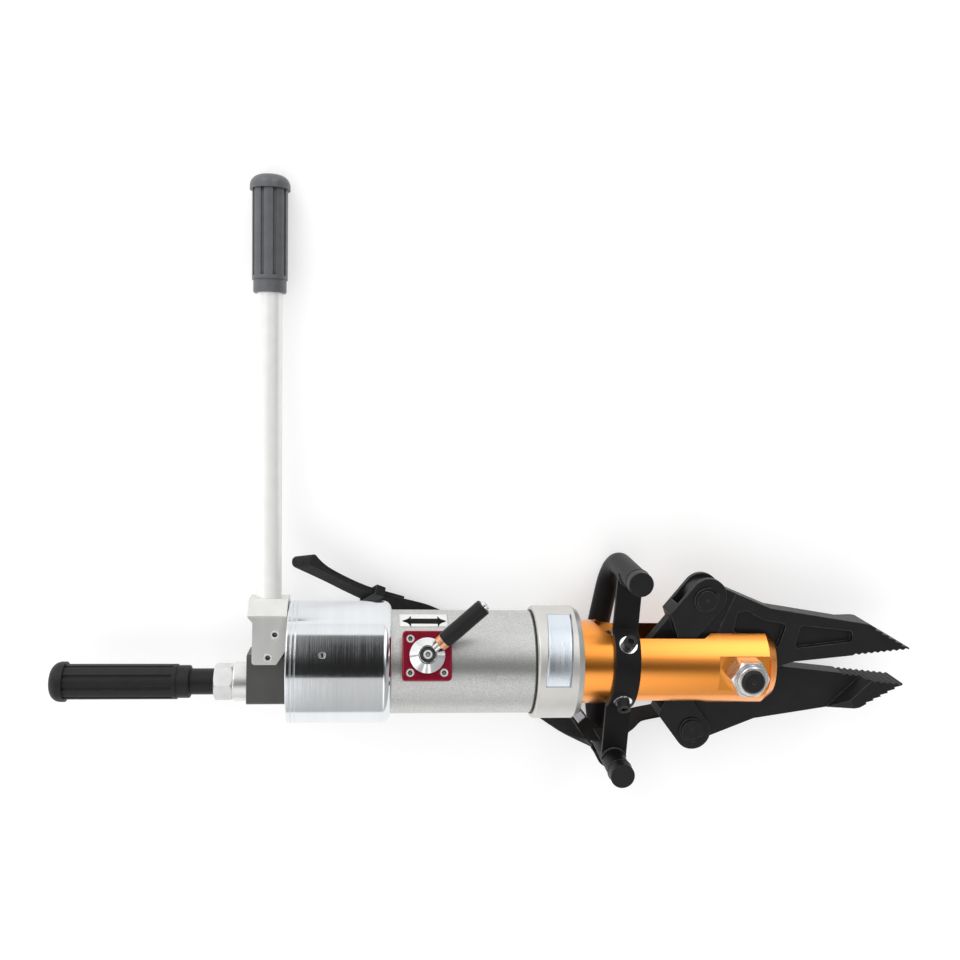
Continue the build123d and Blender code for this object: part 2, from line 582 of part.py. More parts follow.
def valve_screw_places():
    """Places of the selector valve's four screws, in the valve's frame."""
    return GridLocations(VALVE_SCREW_PITCH, VALVE_SCREW_PITCH, 2, 2).locations


def selector_valve():
    """Red block saddled on the barrel, and the hub, spool and stub lever that turn in it."""
    head_seat = VALVE_TOP - VALVE_SCREW_SINK
    saddle = BARREL_RADIUS - VALVE_SIZE / 2
    block = slab(RectangleRounded(VALVE_SIZE, VALVE_SIZE, VALVE_CORNER), saddle, VALVE_TOP)
    block = chamfer(block.faces().sort_by(Axis.Z)[-1].edges(), 0.8)
    block -= post(0, 0, 0, VALVE_TOP, SPOOL_RADIUS + FIT)
    screws = []
    for place in valve_screw_places():
        block -= place * post(0, 0, head_seat, VALVE_TOP + 1, VALVE_SCREW_HEAD[0] + 2 * FIT)
        block -= place * post(0, 0, 0, VALVE_TOP, VALVE_SCREW_RADIUS + FIT)
        shank = head_seat - BARREL_RADIUS + VALVE_SCREW_DEPTH
        screw = cap_screw(*VALVE_SCREW_HEAD, VALVE_SCREW_RADIUS, shank)
        screws.append(place * Pos(0, 0, head_seat) * screw)
    parts["valve_block"] = VALVE * block - rod(BARREL_BACK, BARREL_FRONT, BARREL_RADIUS)
    parts["valve_screws"] = VALVE * Compound(screws)
    hub_low = VALVE_TOP + GAP
    hub_high = hub_low + HUB_HEIGHT
    spool_top = hub_low + HUB_HEIGHT / 2
    cone = [
        (0, hub_low),
        (HUB_RADIUS, hub_low),
        (HUB_RADIUS, hub_low + HUB_RIM),
        (HUB_TOP_RADIUS + 1.2, hub_high),
        (HUB_TOP_RADIUS, hub_high),
        (HUB_TOP_RADIUS, hub_high - HUB_RECESS),
        (0, hub_high - HUB_RECESS),
    ]
    hub = revolve(Plane.XZ * outline(cone), Axis.Z)
    hub -= post(0, 0, 0, spool_top, SPOOL_RADIUS + FIT)
    hub -= post(0, 0, 0, hub_high, VALVE_SCREW_RADIUS + FIT)
    lever = Rot(0, 0, STEM_TURN) * Pos(0, 0, hub_low + HUB_HEIGHT * 0.35) * Rot(0, -STEM_RISE, 0)
    stem_start = SPOOL_RADIUS + 2.0
    hub -= lever * rod(stem_start, HUB_RADIUS + 5, STEM_RADIUS + FIT)
    parts["valve_hub"] = VALVE * hub
    spool = post(0, 0, SPOOL_BOTTOM, spool_top, SPOOL_RADIUS)
    spool -= post(0, 0, spool_top - 8, spool_top, VALVE_SCREW_RADIUS + FIT)
    parts["valve_spool"] = VALVE * spool
    screw_seat = hub_high - HUB_RECESS
    screw = cap_screw(*HUB_SCREW_HEAD, VALVE_SCREW_RADIUS, screw_seat - spool_top + 6)
    parts["hub_screw"] = VALVE * Pos(0, 0, screw_seat) * screw
    grip_start = FERRULE_START + FERRULE_LENGTH
    grip_end = grip_start + VALVE_GRIP_LENGTH
    parts["valve_stem"] = VALVE * lever * rod(stem_start, grip_end - GRIP_SCREW_DEPTH - 1, STEM_RADIUS)
    ferrule = ring(FERRULE_START, grip_start, FERRULE_RADIUS, STEM_RADIUS + FIT)
    parts["valve_ferrule"] = VALVE * lever * ferrule
    bore = STEM_RADIUS + FIT
    skin = VALVE_GRIP_RADIUS
    profile = outline([(grip_start, bore), (grip_start, skin), (grip_end, skin), (grip_end, bore)])
    corners = [(grip_start, skin, 1.0), (grip_end, skin, 1.2)]
    parts["valve_grip"] = VALVE * lever * revolve(rounded(profile, corners), Axis.X)
    screw = cap_screw(*GRIP_SCREW_HEAD, STEM_RADIUS, GRIP_SCREW_DEPTH)
    parts["valve_grip_screw"] = VALVE * lever * Pos(grip_end, 0, 0) * Rot(0, 90, 0) * screw


def collar_profile():
    """Half section of the collar, station against radius."""
    bore = BARREL_RADIUS + FIT
    lip = YOKE_RADIUS + FIT
    return outline(
        [
            (COLLAR_BACK, bore),
            (COLLAR_BACK, COLLAR_RADIUS),
            (COLLAR_FRONT - COLLAR_CHAMFER, COLLAR_RADIUS),
            (COLLAR_FRONT, COLLAR_RADIUS - COLLAR_CHAMFER / 1.6),
            (COLLAR_FRONT, lip),
            (FLANGE_FRONT, lip),
            (FLANGE_FRONT, bore),
        ]
    )


def collar():
    """Ring that screws on the barrel and traps the yoke's flange, with the square lug at its front."""
    profile = rounded(collar_profile(), [(COLLAR_BACK, COLLAR_RADIUS, 2.5)])
    parts["collar"] = revolve(profile, Axis.X)
    reach, inside, rise = LUG_PLACE
    lug = chamfer(Box(LUG_SIZE, LUG_SIZE, LUG_THICKNESS).faces().sort_by(Axis.Z)[-1].edges(), 1.2)
    lug = Pos(COLLAR_FRONT + reach, inside - COLLAR_RADIUS, rise) * Rot(0, 0, LUG_TURN) * lug
    parts["strap_lug"] = lug - revolve(collar_profile(), Axis.X)


def yoke():
    """Slotted head that guides the crosshead and carries the jaws' pivot bolt and nut."""
    nose = YOKE_FRONT - YOKE_NOSE_LENGTH
    profile = outline(
        [
            (BARREL_FRONT, 0),
            (BARREL_FRONT, YOKE_FLANGE_RADIUS),
            (FLANGE_FRONT, YOKE_FLANGE_RADIUS),
            (FLANGE_FRONT, YOKE_RADIUS),
            (nose, YOKE_RADIUS),
            (YOKE_FRONT, YOKE_NOSE_RADIUS),
            (YOKE_FRONT, 0),
        ]
    )
    body = revolve(profile, Axis.X)
    guide_back = BARREL_FRONT + YOKE_BACK_WALL
    guide_front = CROSSHEAD_X
    body -= rod(BARREL_FRONT, guide_back, ROD_RADIUS + GAP)
    body -= rod(guide_back, guide_front, GUIDE_RADIUS)
    wide, narrow = LINK_SLOT / 2, JAW_SLOT / 2
    round_centre = COLLAR_FRONT + SLOT_REACH + wide
    step = COLLAR_FRONT + SLOT_STEP_REACH
    step_end = step + SLOT_STEP_LENGTH
    end = YOKE_FRONT + 1
    opening = outline(
        [
            (round_centre, -wide),
            (step, -wide),
            (step_end, -narrow),
            (end, -narrow),
            (end, narrow),
            (step_end, narrow),
            (step, wide),
            (round_centre, wide),
        ]
    )
    steps = ((step, wide), (step, -wide), (step_end, narrow), (step_end, -narrow))
    opening = rounded(opening, [(x, y, SLOT_STEP_ROUND) for x, y in steps])
    opening += Pos(round_centre, 0) * Circle(wide)
    body -= extrude(Plane.XZ * opening, amount=YOKE_RADIUS + 1, both=True)
    body -= post(PIVOT_X, 0, -YOKE_RADIUS, YOKE_RADIUS, PIVOT_RADIUS + FIT)
    flat = Box(SEAT_LENGTH, 2 * YOKE_RADIUS, YOKE_RADIUS, align=LOW_END)
    for side in (0, 180):
        body -= Rot(side, 0, 0) * Pos(PIVOT_X + SEAT_OFFSET, 0, SEAT_HEIGHT) * flat
    for place in clamp_screw_places():
        body -= place * post(0, 0, -CLAMP_SCREW_DEPTH, 1, CLAMP_SCREW_RADIUS + FIT)
    parts["yoke"] = body

    nut_top = SEAT_HEIGHT + NUT_HEIGHT
    nut = hexagon(PIVOT_FLATS, SEAT_HEIGHT, nut_top)
    corner = PIVOT_FLATS / math.sqrt(3)
    crown = [(0, SEAT_HEIGHT), (corner, SEAT_HEIGHT), (corner, nut_top - 2)]
    crown += [(PIVOT_FLATS / 2, nut_top), (0, nut_top)]
    nut = nut & revolve(Plane.XZ * outline(crown), Axis.Z)
    locking_ring = post(0, 0, nut_top, nut_top + NUT_RING_HEIGHT, NUT_RING_RADIUS)
    nut += fillet(locking_ring.faces().sort_by(Axis.Z)[-1].edges(), 2.0)
    nut -= post(0, 0, 0, nut_top + NUT_RING_HEIGHT, PIVOT_RADIUS + FIT)
    parts["pivot_nut"] = Pos(PIVOT_X, 0, 0) * nut
    end_height = nut_top + NUT_RING_HEIGHT + BOLT_END
    bolt = post(0, 0, -SEAT_HEIGHT, end_height, PIVOT_RADIUS)
    bolt = chamfer(bolt.faces().sort_by(Axis.Z)[-1].edges(), 1.2)
    bolt += hexagon(PIVOT_FLATS, -SEAT_HEIGHT - BOLT_HEAD_HEIGHT, -SEAT_HEIGHT)
    bolt -= post(0, 0, end_height - 2, end_height, 1.3)
    parts["pivot_bolt"] = Pos(PIVOT_X, 0, 0) * bolt


def jaw_outline():
    """Edge of one closed jaw: sloping back, stepped tip, toothed grip and shearing blade."""
    brow_x, brow_y = JAW_BROW
    run_x, run_y = JAW_REACH - brow_x, JAW_TIP_HEIGHT - brow_y
    length = math.hypot(run_x, run_y)
    inward = (run_y / length * TIP_STEP_DEPTH, -run_x / length * TIP_STEP_DEPTH)
    closed = math.radians(TAIL_ANGLE)
    tail_x, tail_y = TAIL_ARM * math.cos(closed), TAIL_ARM * math.sin(closed)
    back_x, back_y = JAW_WAIST[0] - tail_x, JAW_WAIST[1] - tail_y
    bearing = math.atan2(back_y, back_x) + math.acos(TAIL_END_RADIUS / math.hypot(back_x, back_y))
    shoulder = (tail_x + TAIL_END_RADIUS * math.cos(bearing), tail_y + TAIL_END_RADIUS * math.sin(bearing))
    points = [(0, 0), shoulder, JAW_WAIST, JAW_BROW]
    for step in range(1, TIP_STEPS):
        x, y = brow_x + run_x * step / TIP_STEPS, brow_y + run_y * step / TIP_STEPS
        points += [(x, y), (x + inward[0], y + inward[1])]
    points += [(JAW_REACH, JAW_TIP_HEIGHT), (JAW_REACH, JAW_MEETING)]
    pitch = (JAW_REACH - GRIP_TEETH_BACK) / GRIP_TEETH
    for tooth in range(1, GRIP_TEETH + 1):
        x = JAW_REACH - tooth * pitch
        points += [(x + pitch / 2, JAW_MEETING + GRIP_TOOTH_DEPTH), (x, JAW_MEETING)]
    points += [(BLADE_FRONT, JAW_MEETING), BLADE_HEEL]
    return outline(points)


def jaw():
    """One jaw, closed: thin behind, full thickness at the tip, lightened by two pockets."""
    closed = math.radians(TAIL_ANGLE)
    tail = Pos(TAIL_ARM * math.cos(closed), TAIL_ARM * math.sin(closed))
    arm = make_hull((Circle(HUB_BOSS_RADIUS).edges() + (tail * Circle(TAIL_END_RADIUS)).edges()))
    edge = jaw_outline()
    body = slab(arm, GAP / 2, JAW_THICKNESS) + slab(edge, GAP / 2, JAW_THICKNESS)
    tip = slab(edge, -TIP_DEPTH, GAP)
    for foot, slope in ((TIP_WALL, TIP_WALL_SLOPE), (TIP_CORNER, TIP_CORNER_SLOPE)):
        tip = split(tip, bisect_by=Plane(origin=(*foot, GAP / 2), z_dir=slope), keep=Keep.TOP)
    body += tip
    for pocket in (REAR_POCKET, FRONT_POCKET):
        face = rounded(outline(pocket), [(x, y, POCKET_ROUND) for x, y in pocket])
        body -= slab(face, JAW_THICKNESS - POCKET_DEPTH, JAW_THICKNESS + 1)
    reach = 2 * TAIL_ARM
    shelf = Box(reach, 2 * reach, JAW_THICKNESS, align=(Align.MAX, Align.CENTER, Align.MIN))
    body -= Pos(*TAIL_SHELF, JAW_THICKNESS - TAIL_SHELF_DEPTH) * Rot(0, 0, -TAIL_SHELF_TURN) * shelf
    body -= post(0, 0, -1, JAW_THICKNESS + 1, PIVOT_RADIUS + FIT)
    return body - tail * post(0, 0, -1, JAW_THICKNESS + 1, TAIL_PIN_RADIUS + FIT)


def link():
    """One link: fork round the jaw's tail at zero, tongue to the crosshead pin along +X."""
    near_low = JAW_THICKNESS - TAIL_SHELF_DEPTH + GAP
    near_high = near_low + LINK_CHEEK
    far_low = -LINK_CHEEK
    side = LINK_END_RADIUS
    end = -LINK_OVERHANG
    half = TONGUE_WIDTH / 2
    near_end, far_end = FORK_END
    near_crotch, far_crotch = CROTCH
    cheek = outline([(end, -side), (near_end, -side), (far_end, half), (near_end, side), (end, side)])
    cheek += Pos(end, 0) * Circle(LINK_END_RADIUS)
    bridge = outline([(near_crotch, -side), (near_end, -side), (far_end, half), (far_crotch, half)])
    tongue = [(near_crotch + 4, -half), (LINK_LENGTH, -half), (LINK_LENGTH, half), (far_crotch, half)]
    tongue = outline(tongue)
    tongue += Pos(LINK_LENGTH, 0) * Circle(TONGUE_END_RADIUS)
    body = slab(cheek, near_low, near_high) + slab(cheek, far_low, 0)
    body += slab(bridge, far_low, near_high) + slab(tongue, GAP / 2, TONGUE_THICKNESS)
    body -= post(0, 0, far_low - 1, near_high + 1, TAIL_PIN_RADIUS + FIT)
    return body - post(LINK_LENGTH, 0, -1, JAW_THICKNESS + 1, CROSSHEAD_PIN_RADIUS + OPEN_PIVOT_ROOM)


def circlip():
    """External circlip in the XY plane, its open ends and ears towards +X."""
    band = Circle(CIRCLIP_RADIUS) - Circle(CIRCLIP_INNER + FIT)
    reach = 2 * CIRCLIP_RADIUS
    rise = reach * math.tan(math.radians(CIRCLIP_OPENING / 2))
    band -= outline([(0, 0), (reach, rise), (reach, -rise)])
    ear_radius = CIRCLIP_RADIUS - CIRCLIP_EAR / 4
    for side in (-1, 1):
        angle = math.radians(side * (CIRCLIP_OPENING / 2 + 4))
        ear = Circle(CIRCLIP_EAR) - Circle(CIRCLIP_EAR / 3)
        band += Pos(ear_radius * math.cos(angle), ear_radius * math.sin(angle)) * ear
    return slab(band, 0, CIRCLIP_THICKNESS)


def jaws_and_links():
    """Both jaws and links with their tail pins, opened by the rest angle."""
    near = JAW_THICKNESS - TAIL_SHELF_DEPTH + GAP + LINK_CHEEK
    far = -LINK_CHEEK
    clip_room = GAP / 2
    pin_low = far - clip_room - CIRCLIP_THICKNESS - PIN_END
    pin_high = near + clip_room + CIRCLIP_THICKNESS + PIN_END
    pin = post(0, 0, pin_low, pin_high, TAIL_PIN_RADIUS)
    for low in (pin_low, pin_high - PIN_DIMPLE):
        pin -= post(0, 0, low, low + PIN_DIMPLE, PIN_DIMPLE)
    groove_edge = post(0, 0, 0, CIRCLIP_THICKNESS, TAIL_PIN_RADIUS + 1)
    groove_edge -= post(0, 0, 0, CIRCLIP_THICKNESS, CIRCLIP_INNER)
    clips = []
    for low in (near + clip_room, far - clip_room - CIRCLIP_THICKNESS):
        pin -= Pos(0, 0, low) * groove_edge
        clips.append(Pos(0, 0, low) * Rot(0, 0, LINK_ANGLE) * circlip())
    tail = Pos(*TAIL_PIN)
    for name, side in (("upper", UPPER_SIDE), ("lower", LOWER_SIDE)):
        parts[name + "_jaw"] = side * Rot(0, 0, JAW_REST) * jaw()
        parts[name + "_link"] = side * tail * Rot(0, 0, 180 + LINK_ANGLE) * link()
        parts[name + "_tail_pin"] = side * tail * pin
        parts[name + "_circlips"] = side * tail * Compound(clips)


def crosshead():
    """Clevis on the piston rod and the pin that both links hang on."""
    inner = TONGUE_THICKNESS + GAP
    in_bore = math.sqrt((GUIDE_RADIUS - GAP) ** 2 - CROSSHEAD_EYE**2)
    outer = min(LINK_SLOT / 2 - 2 * GAP, in_bore)
    base_front = CROSSHEAD_X - CROSSHEAD_NECK
    base_back = base_front - CROSSHEAD_BASE
    eye = outline(
        [
            (base_front, -CROSSHEAD_EYE),
            (CROSSHEAD_X, -CROSSHEAD_EYE),
            (CROSSHEAD_X, CROSSHEAD_EYE),
            (base_front, CROSSHEAD_EYE),
        ]
    )
    eye += Pos(CROSSHEAD_X, 0) * Circle(CROSSHEAD_EYE)
    body = rod(base_back, base_front, GUIDE_RADIUS - GAP)
    body += slab(eye, inner, outer) + slab(eye, -outer, -inner)
    body -= rod(base_back, base_back + ROD_SPIGOT_LENGTH, ROD_SPIGOT_RADIUS + FIT)
    parts["crosshead"] = body - post(CROSSHEAD_X, 0, -outer, outer, CROSSHEAD_PIN_RADIUS + FIT)
    parts["crosshead_pin"] = post(CROSSHEAD_X, 0, -outer, outer, CROSSHEAD_PIN_RADIUS)


def clamp_screw_places():
    """Places on the yoke's skin of the two screws that hold the carry handle."""
    turns = (-CLAMP_SCREW_ANGLE, CLAMP_SCREW_ANGLE)
    return [HANDLE * Rot(turn, 0, 0) * Pos(0, 0, YOKE_RADIUS) for turn in turns]


def carry_handle():
    """Bent tube behind the yoke and the strip welded to it that is screwed over the yoke's near side."""
    path = FilletPolyline(
        (0, HANDLE_HALF_SPAN, HANDLE_BAR_END),
        (0, HANDLE_HALF_SPAN, -HANDLE_DEPTH),
        (-HANDLE_SET, 0, -HANDLE_DEPTH),
        (0, -HANDLE_HALF_SPAN, -HANDLE_DEPTH),
        (0, -HANDLE_HALF_SPAN, HANDLE_BAR_END),
        radius=HANDLE_BEND,
    )
    inner = HANDLE_RADIUS - HANDLE_WALL
    wall = Circle(HANDLE_RADIUS) - Circle(inner)
    section = Pos(0, HANDLE_HALF_SPAN, HANDLE_BAR_END) * wall
    parts["carry_handle_tube"] = HANDLE * sweep(section, path=path)
    plugs = []
    bars = []
    for y in (HANDLE_HALF_SPAN, -HANDLE_HALF_SPAN):
        bars.append(post(0, y, -HANDLE_DEPTH, HANDLE_BAR_END, HANDLE_RADIUS))
        plug = post(0, y, HANDLE_BAR_END, HANDLE_BAR_END + PLUG_HEAD, HANDLE_RADIUS + PLUG_RIM)
        plug = fillet(plug.faces().sort_by(Axis.Z)[-1].edges(), PLUG_ROUND)
        plugs.append(plug + post(0, y, HANDLE_BAR_END - PLUG_DEPTH, HANDLE_BAR_END, inner - FIT))
    parts["handle_end_plugs"] = HANDLE * Compound(plugs)

    skin = YOKE_RADIUS + STRIP_THICKNESS
    wrap = math.radians(STRIP_WRAP)
    reach = 2 * skin
    wedge = [(0, 0), (reach * math.sin(wrap), reach * math.cos(wrap)), (0, 2 * reach)]
    wedge.append((-reach * math.sin(wrap), reach * math.cos(wrap)))
    sector = extrude(Plane.YZ.offset(-STRIP_WIDTH / 2) * outline(wedge), amount=STRIP_WIDTH, dir=(1, 0, 0))
    strip = rod(-STRIP_WIDTH / 2, STRIP_WIDTH / 2, skin) & sector
    flat_low = skin * math.cos(wrap) - STRIP_THICKNESS
    flat_in = YOKE_RADIUS * math.sin(wrap)
    inner_end = (Align.CENTER, Align.MIN, Align.MIN)
    flat = Box(STRIP_WIDTH, HANDLE_HALF_SPAN - flat_in, STRIP_THICKNESS, align=inner_end)
    flat = Pos(0, flat_in, flat_low) * flat
    strip += flat + mirror(flat, Plane.XZ)
    for bar in bars:
        strip -= bar
    strip = HANDLE * strip - rod(COLLAR_FRONT, YOKE_FRONT, YOKE_RADIUS)
    seat = math.sqrt(skin**2 - WASHER_RADIUS**2) - YOKE_RADIUS - FIT
    screws, washers = [], []
    for place in clamp_screw_places():
        strip -= place * post(0, 0, seat, 4 * STRIP_THICKNESS, WASHER_RADIUS + GAP)
        strip -= place * post(0, 0, -STRIP_THICKNESS, seat, CLAMP_SCREW_RADIUS + FIT)
        washer = post(0, 0, seat, seat + WASHER_THICKNESS, WASHER_RADIUS)
        washers.append(place * (washer - post(0, 0, 0, 2 * STRIP_THICKNESS, CLAMP_SCREW_RADIUS + FIT)))
        shank = seat + WASHER_THICKNESS + CLAMP_SCREW_DEPTH - GAP
        screw = cap_screw(CLAMP_HEAD_RADIUS, CLAMP_HEAD_HEIGHT, CLAMP_SCREW_RADIUS, shank)
        screws.append(place * Pos(0, 0, seat + WASHER_THICKNESS) * screw)
    parts["clamp_strip"] = strip
    parts["clamp_screws"] = Compound(screws)
    parts["clamp_washers"] = Compound(washers)


BAR_X = HANDLE_X + HANDLE_HALF_SPAN * math.sin(math.radians(HANDLE_TURN))
BAR_Y = -HANDLE_HALF_SPAN * math.cos(math.radians(HANDLE_TURN))
LOOP_RADIUS = HANDLE_RADIUS + GAP + STRAP_THICKNESS / 2
LOOP_HEIGHT = STRAP_LOOP_LOW + STRAP_WIDTH / 2 - FLOOR

# Middle line of the webbing, as station, distance across, height above the floor and the twist of its width
# from level: from the lower handle bar, under the barrel, to the folded end, and the short sewn tail.
STRAP_RUN = (
    (BAR_X - 1.0, BAR_Y - LOOP_RADIUS, LOOP_HEIGHT, 90),
    (BAR_X - 14.0, BAR_Y - LOOP_RADIUS + 1, LOOP_HEIGHT - 8, 75),
    (BAR_X - 23.0, BAR_Y - 2.5, 30.0, 42),
    (BAR_X - 34.0, BAR_Y + 9.0, 14.0, 10),
    (BAR_X - 50.0, BAR_Y + 23.0, 7.0, 0),
    (215.0, -45.0, 4.5, 0),
    (176.0, -11.0, 4.5, 0),
    (146.0, 10.0, 5.5, 5),
    (120.0, 26.0, 8.5, 20),
    (94.0, 37.5, 13.5, 40),
    (70.5, 47.0, 18.0, 50),
    (52.5, 57.0, 28.0, 54),
    (31.5, 71.0, 42.0, 55),
    (12.0, 84.0, 56.0, 55),
)
STRAP_TAIL = (
    (BAR_X + 1.0, BAR_Y + LOOP_RADIUS, LOOP_HEIGHT, 90),
    (BAR_X + 14.0, BAR_Y + LOOP_RADIUS + 3, LOOP_HEIGHT - 14, 82),
    (BAR_X + 30.0, BAR_Y + LOOP_RADIUS + 6, 19.0, 76),
    (BAR_X + 52.0, BAR_Y + LOOP_RADIUS + 9, 15.0, 72),
)


def strap_frames(route):
    """Frames along a run of webbing, Z along it and X across its width."""
    points = [Vector(x, y, FLOOR + height) for x, y, height, twist in route]
    frames = []
    for index, station in enumerate(route):
        ahead = points[min(index + 1, len(points) - 1)] - points[max(index - 1, 0)]
        ahead = Vector(ahead.X, ahead.Y, ahead.Z).normalized()
        level = Vector(ahead.Y, -ahead.X, 0).normalized()
        across = level.rotate(Axis((0, 0, 0), tuple(ahead)), -station[3])
        frames.append(Plane(origin=points[index], x_dir=across, z_dir=ahead))
    return frames


def strap():
    """Webbing: an end sewn round the lower handle bar, a run under the barrel and a folded free end."""
    section = Rectangle(STRAP_WIDTH, STRAP_THICKNESS)
    run = strap_frames(STRAP_RUN)
    end = run[-1]
    layers = list(run)
    for angle in (45, 90, 135):
        turn = math.radians(angle)
        across = end.y_dir * (1 - math.cos(turn)) * STRAP_FOLD / 2
        origin = end.origin + end.z_dir * math.sin(turn) * STRAP_FOLD / 2 + across
        ahead = end.z_dir * math.cos(turn) + end.y_dir * math.sin(turn)
        layers.append(Plane(origin=origin, x_dir=end.x_dir, z_dir=ahead))
    for index in range(STRAP_TAIL_LAYERS):
        frame = run[-1 - index]
        closing = min(index / SLIDER_STATION, 1)
        apart = STRAP_FOLD * (1 - closing) + (STRAP_THICKNESS + GAP) * closing
        skew = STRAP_SKEW * math.sin(math.pi * closing)
        origin = frame.origin + frame.y_dir * apart - frame.x_dir * skew
        layers.append(Plane(origin=origin, x_dir=frame.x_dir, z_dir=frame.z_dir * -1))
    webbing = loft([frame * section for frame in layers], ruled=True)
    webbing += loft([frame * section for frame in strap_frames(STRAP_TAIL)], ruled=True)
    loop_high = STRAP_LOOP_LOW + STRAP_WIDTH
    inner = HANDLE_RADIUS + GAP
    webbing += post(BAR_X, BAR_Y, STRAP_LOOP_LOW, loop_high, inner + STRAP_THICKNESS)
    parts["strap"] = webbing - post(BAR_X, BAR_Y, STRAP_LOOP_LOW - 1, loop_high + 1, inner)
    frame = run[-1 - SLIDER_STATION]
    width, height = STRAP_WIDTH + 6 * GAP, 2 * STRAP_THICKNESS + 9 * GAP
    rim = Rectangle(width + 2 * SLIDER_WALL, height + 2 * SLIDER_WALL) - Rectangle(width, height)
    middle = Pos(0, (STRAP_THICKNESS + GAP) / 2, -SLIDER_LENGTH / 2)
    parts["strap_slider"] = frame.location * middle * extrude(rim, amount=SLIDER_LENGTH, dir=(0, 0, 1))


reservoir()
rear_handle()
pump_lever()
cylinder()
selector_valve()
collar()
yoke()
jaws_and_links()
crosshead()
carry_handle()
strap()

# The origin is the middle of the footprint, on the surface that the tool lies on.
box = Compound(list(parts.values())).bounding_box()
origin = Pos(-(box.min.X + box.max.X) / 2, -(box.min.Y + box.max.Y) / 2, -box.min.Z)
os.makedirs("parts", exist_ok=True)
for name, shape in parts.items():
    export_step(origin * shape, f"parts/{name}.step")
print("shift", origin.position, "lean", LEAN, "size", box.size)
print("tail pin", TAIL_PIN, "link angle", LINK_ANGLE, "crosshead", CROSSHEAD_X, "floor", FLOOR)
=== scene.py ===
import math

import bpy
import numpy as np
from mathutils import Matrix, Vector


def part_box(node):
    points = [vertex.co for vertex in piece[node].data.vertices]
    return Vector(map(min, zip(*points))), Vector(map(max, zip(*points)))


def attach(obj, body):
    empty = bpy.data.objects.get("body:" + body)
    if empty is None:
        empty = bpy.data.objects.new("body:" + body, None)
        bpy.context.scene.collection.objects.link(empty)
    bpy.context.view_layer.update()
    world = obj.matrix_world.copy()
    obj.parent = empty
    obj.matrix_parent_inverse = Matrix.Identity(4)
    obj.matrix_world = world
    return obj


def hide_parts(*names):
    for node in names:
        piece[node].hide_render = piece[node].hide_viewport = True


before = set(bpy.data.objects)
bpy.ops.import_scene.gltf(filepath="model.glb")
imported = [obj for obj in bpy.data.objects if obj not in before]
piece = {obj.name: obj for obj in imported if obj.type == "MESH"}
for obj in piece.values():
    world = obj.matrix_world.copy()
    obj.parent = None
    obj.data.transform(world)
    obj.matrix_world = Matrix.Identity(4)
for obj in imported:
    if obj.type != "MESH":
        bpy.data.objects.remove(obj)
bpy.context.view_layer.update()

# Barrel: an aluminium cylinder, turned and then bead-blasted all over, so its skin is a fine even speckle
# that spreads every highlight. It carries the reservoir behind, the selector valve on its near side and the
# collar in front.
rear_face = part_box("reservoir_cover")[0].x
barrel_low, barrel_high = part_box("barrel")
axis_y, axis_z = (barrel_low.y + barrel_high.y) / 2, (barrel_low.z + barrel_high.z) / 2


def on_tool(points):
    """Millimetres from the reservoir's rear face along the tool's axis, turned into the frame's metres."""
    return np.asarray(points, float) * 0.001 + (rear_face, axis_y, axis_z)


def node(tree, kind, inputs=None, **settings):
    """One shader node, its inputs set from numbers or joined to other nodes' outputs."""
    made = tree.nodes.new("ShaderNode" + kind)
    for name, value in settings.items():
        setattr(made, name, value)
    for name, value in (inputs or {}).items():
        if isinstance(value, bpy.types.NodeSocket):
            tree.links.new(value, made.inputs[name])
        else:
            made.inputs[name].default_value = value
    return made


def noise(tree, size, stretch=(1, 1, 1), detail=3.0):
    """Cloudy noise whose blots are about size metres wide, drawn out by stretch along each axis."""
    where = node(tree, "TexCoord").outputs["Object"]
    where = node(tree, "Mapping", {"Vector": where, "Scale": [1 / size / s for s in stretch]}).outputs[0]
    return node(tree, "TexNoise", {"Vector": where, "Scale": 1.0, "Detail": detail}).outputs[0]


def spread(tree, value, low, high, start=0.3, end=0.7):
    """A value between start and end laid out evenly from low to high. Most noise lies from 0.3 to 0.7."""
    wanted = {"Value": value, "From Min": start, "From Max": end, "To Min": low, "To Max": high}
    return node(tree, "MapRange", wanted).outputs[0]


def tones(tree, value, *stops):
    """Colours picked along a ramp of (place, colour) stops."""
    ramp = node(tree, "ValToRGB", {"Fac": value})
    while len(ramp.color_ramp.elements) < len(stops):
        ramp.color_ramp.elements.new(0.5)
    for element, (place, colour) in zip(ramp.color_ramp.elements, stops):
        element.position = place
        element.color = (*colour, 1)
    return ramp.outputs[0]


def between(tree, share, first, second):
    """Mix of two colours, each a colour or a node's output."""
    first = first if isinstance(first, bpy.types.NodeSocket) else (*first, 1)
    second = second if isinstance(second, bpy.types.NodeSocket) else (*second, 1)
    return node(tree, "Mix", {0: share, 6: first, 7: second}, data_type="RGBA").outputs[2]


cloud_times, fleck_shade, relief_depth = 14, 0.25, 0.4
edge_bend, flat_bend, edge_patch_size = 0.86, 0.985, 0.006
hollow_shade, shut_in, open_air = (0.012, 0.012, 0.012), 0.45, 0.8


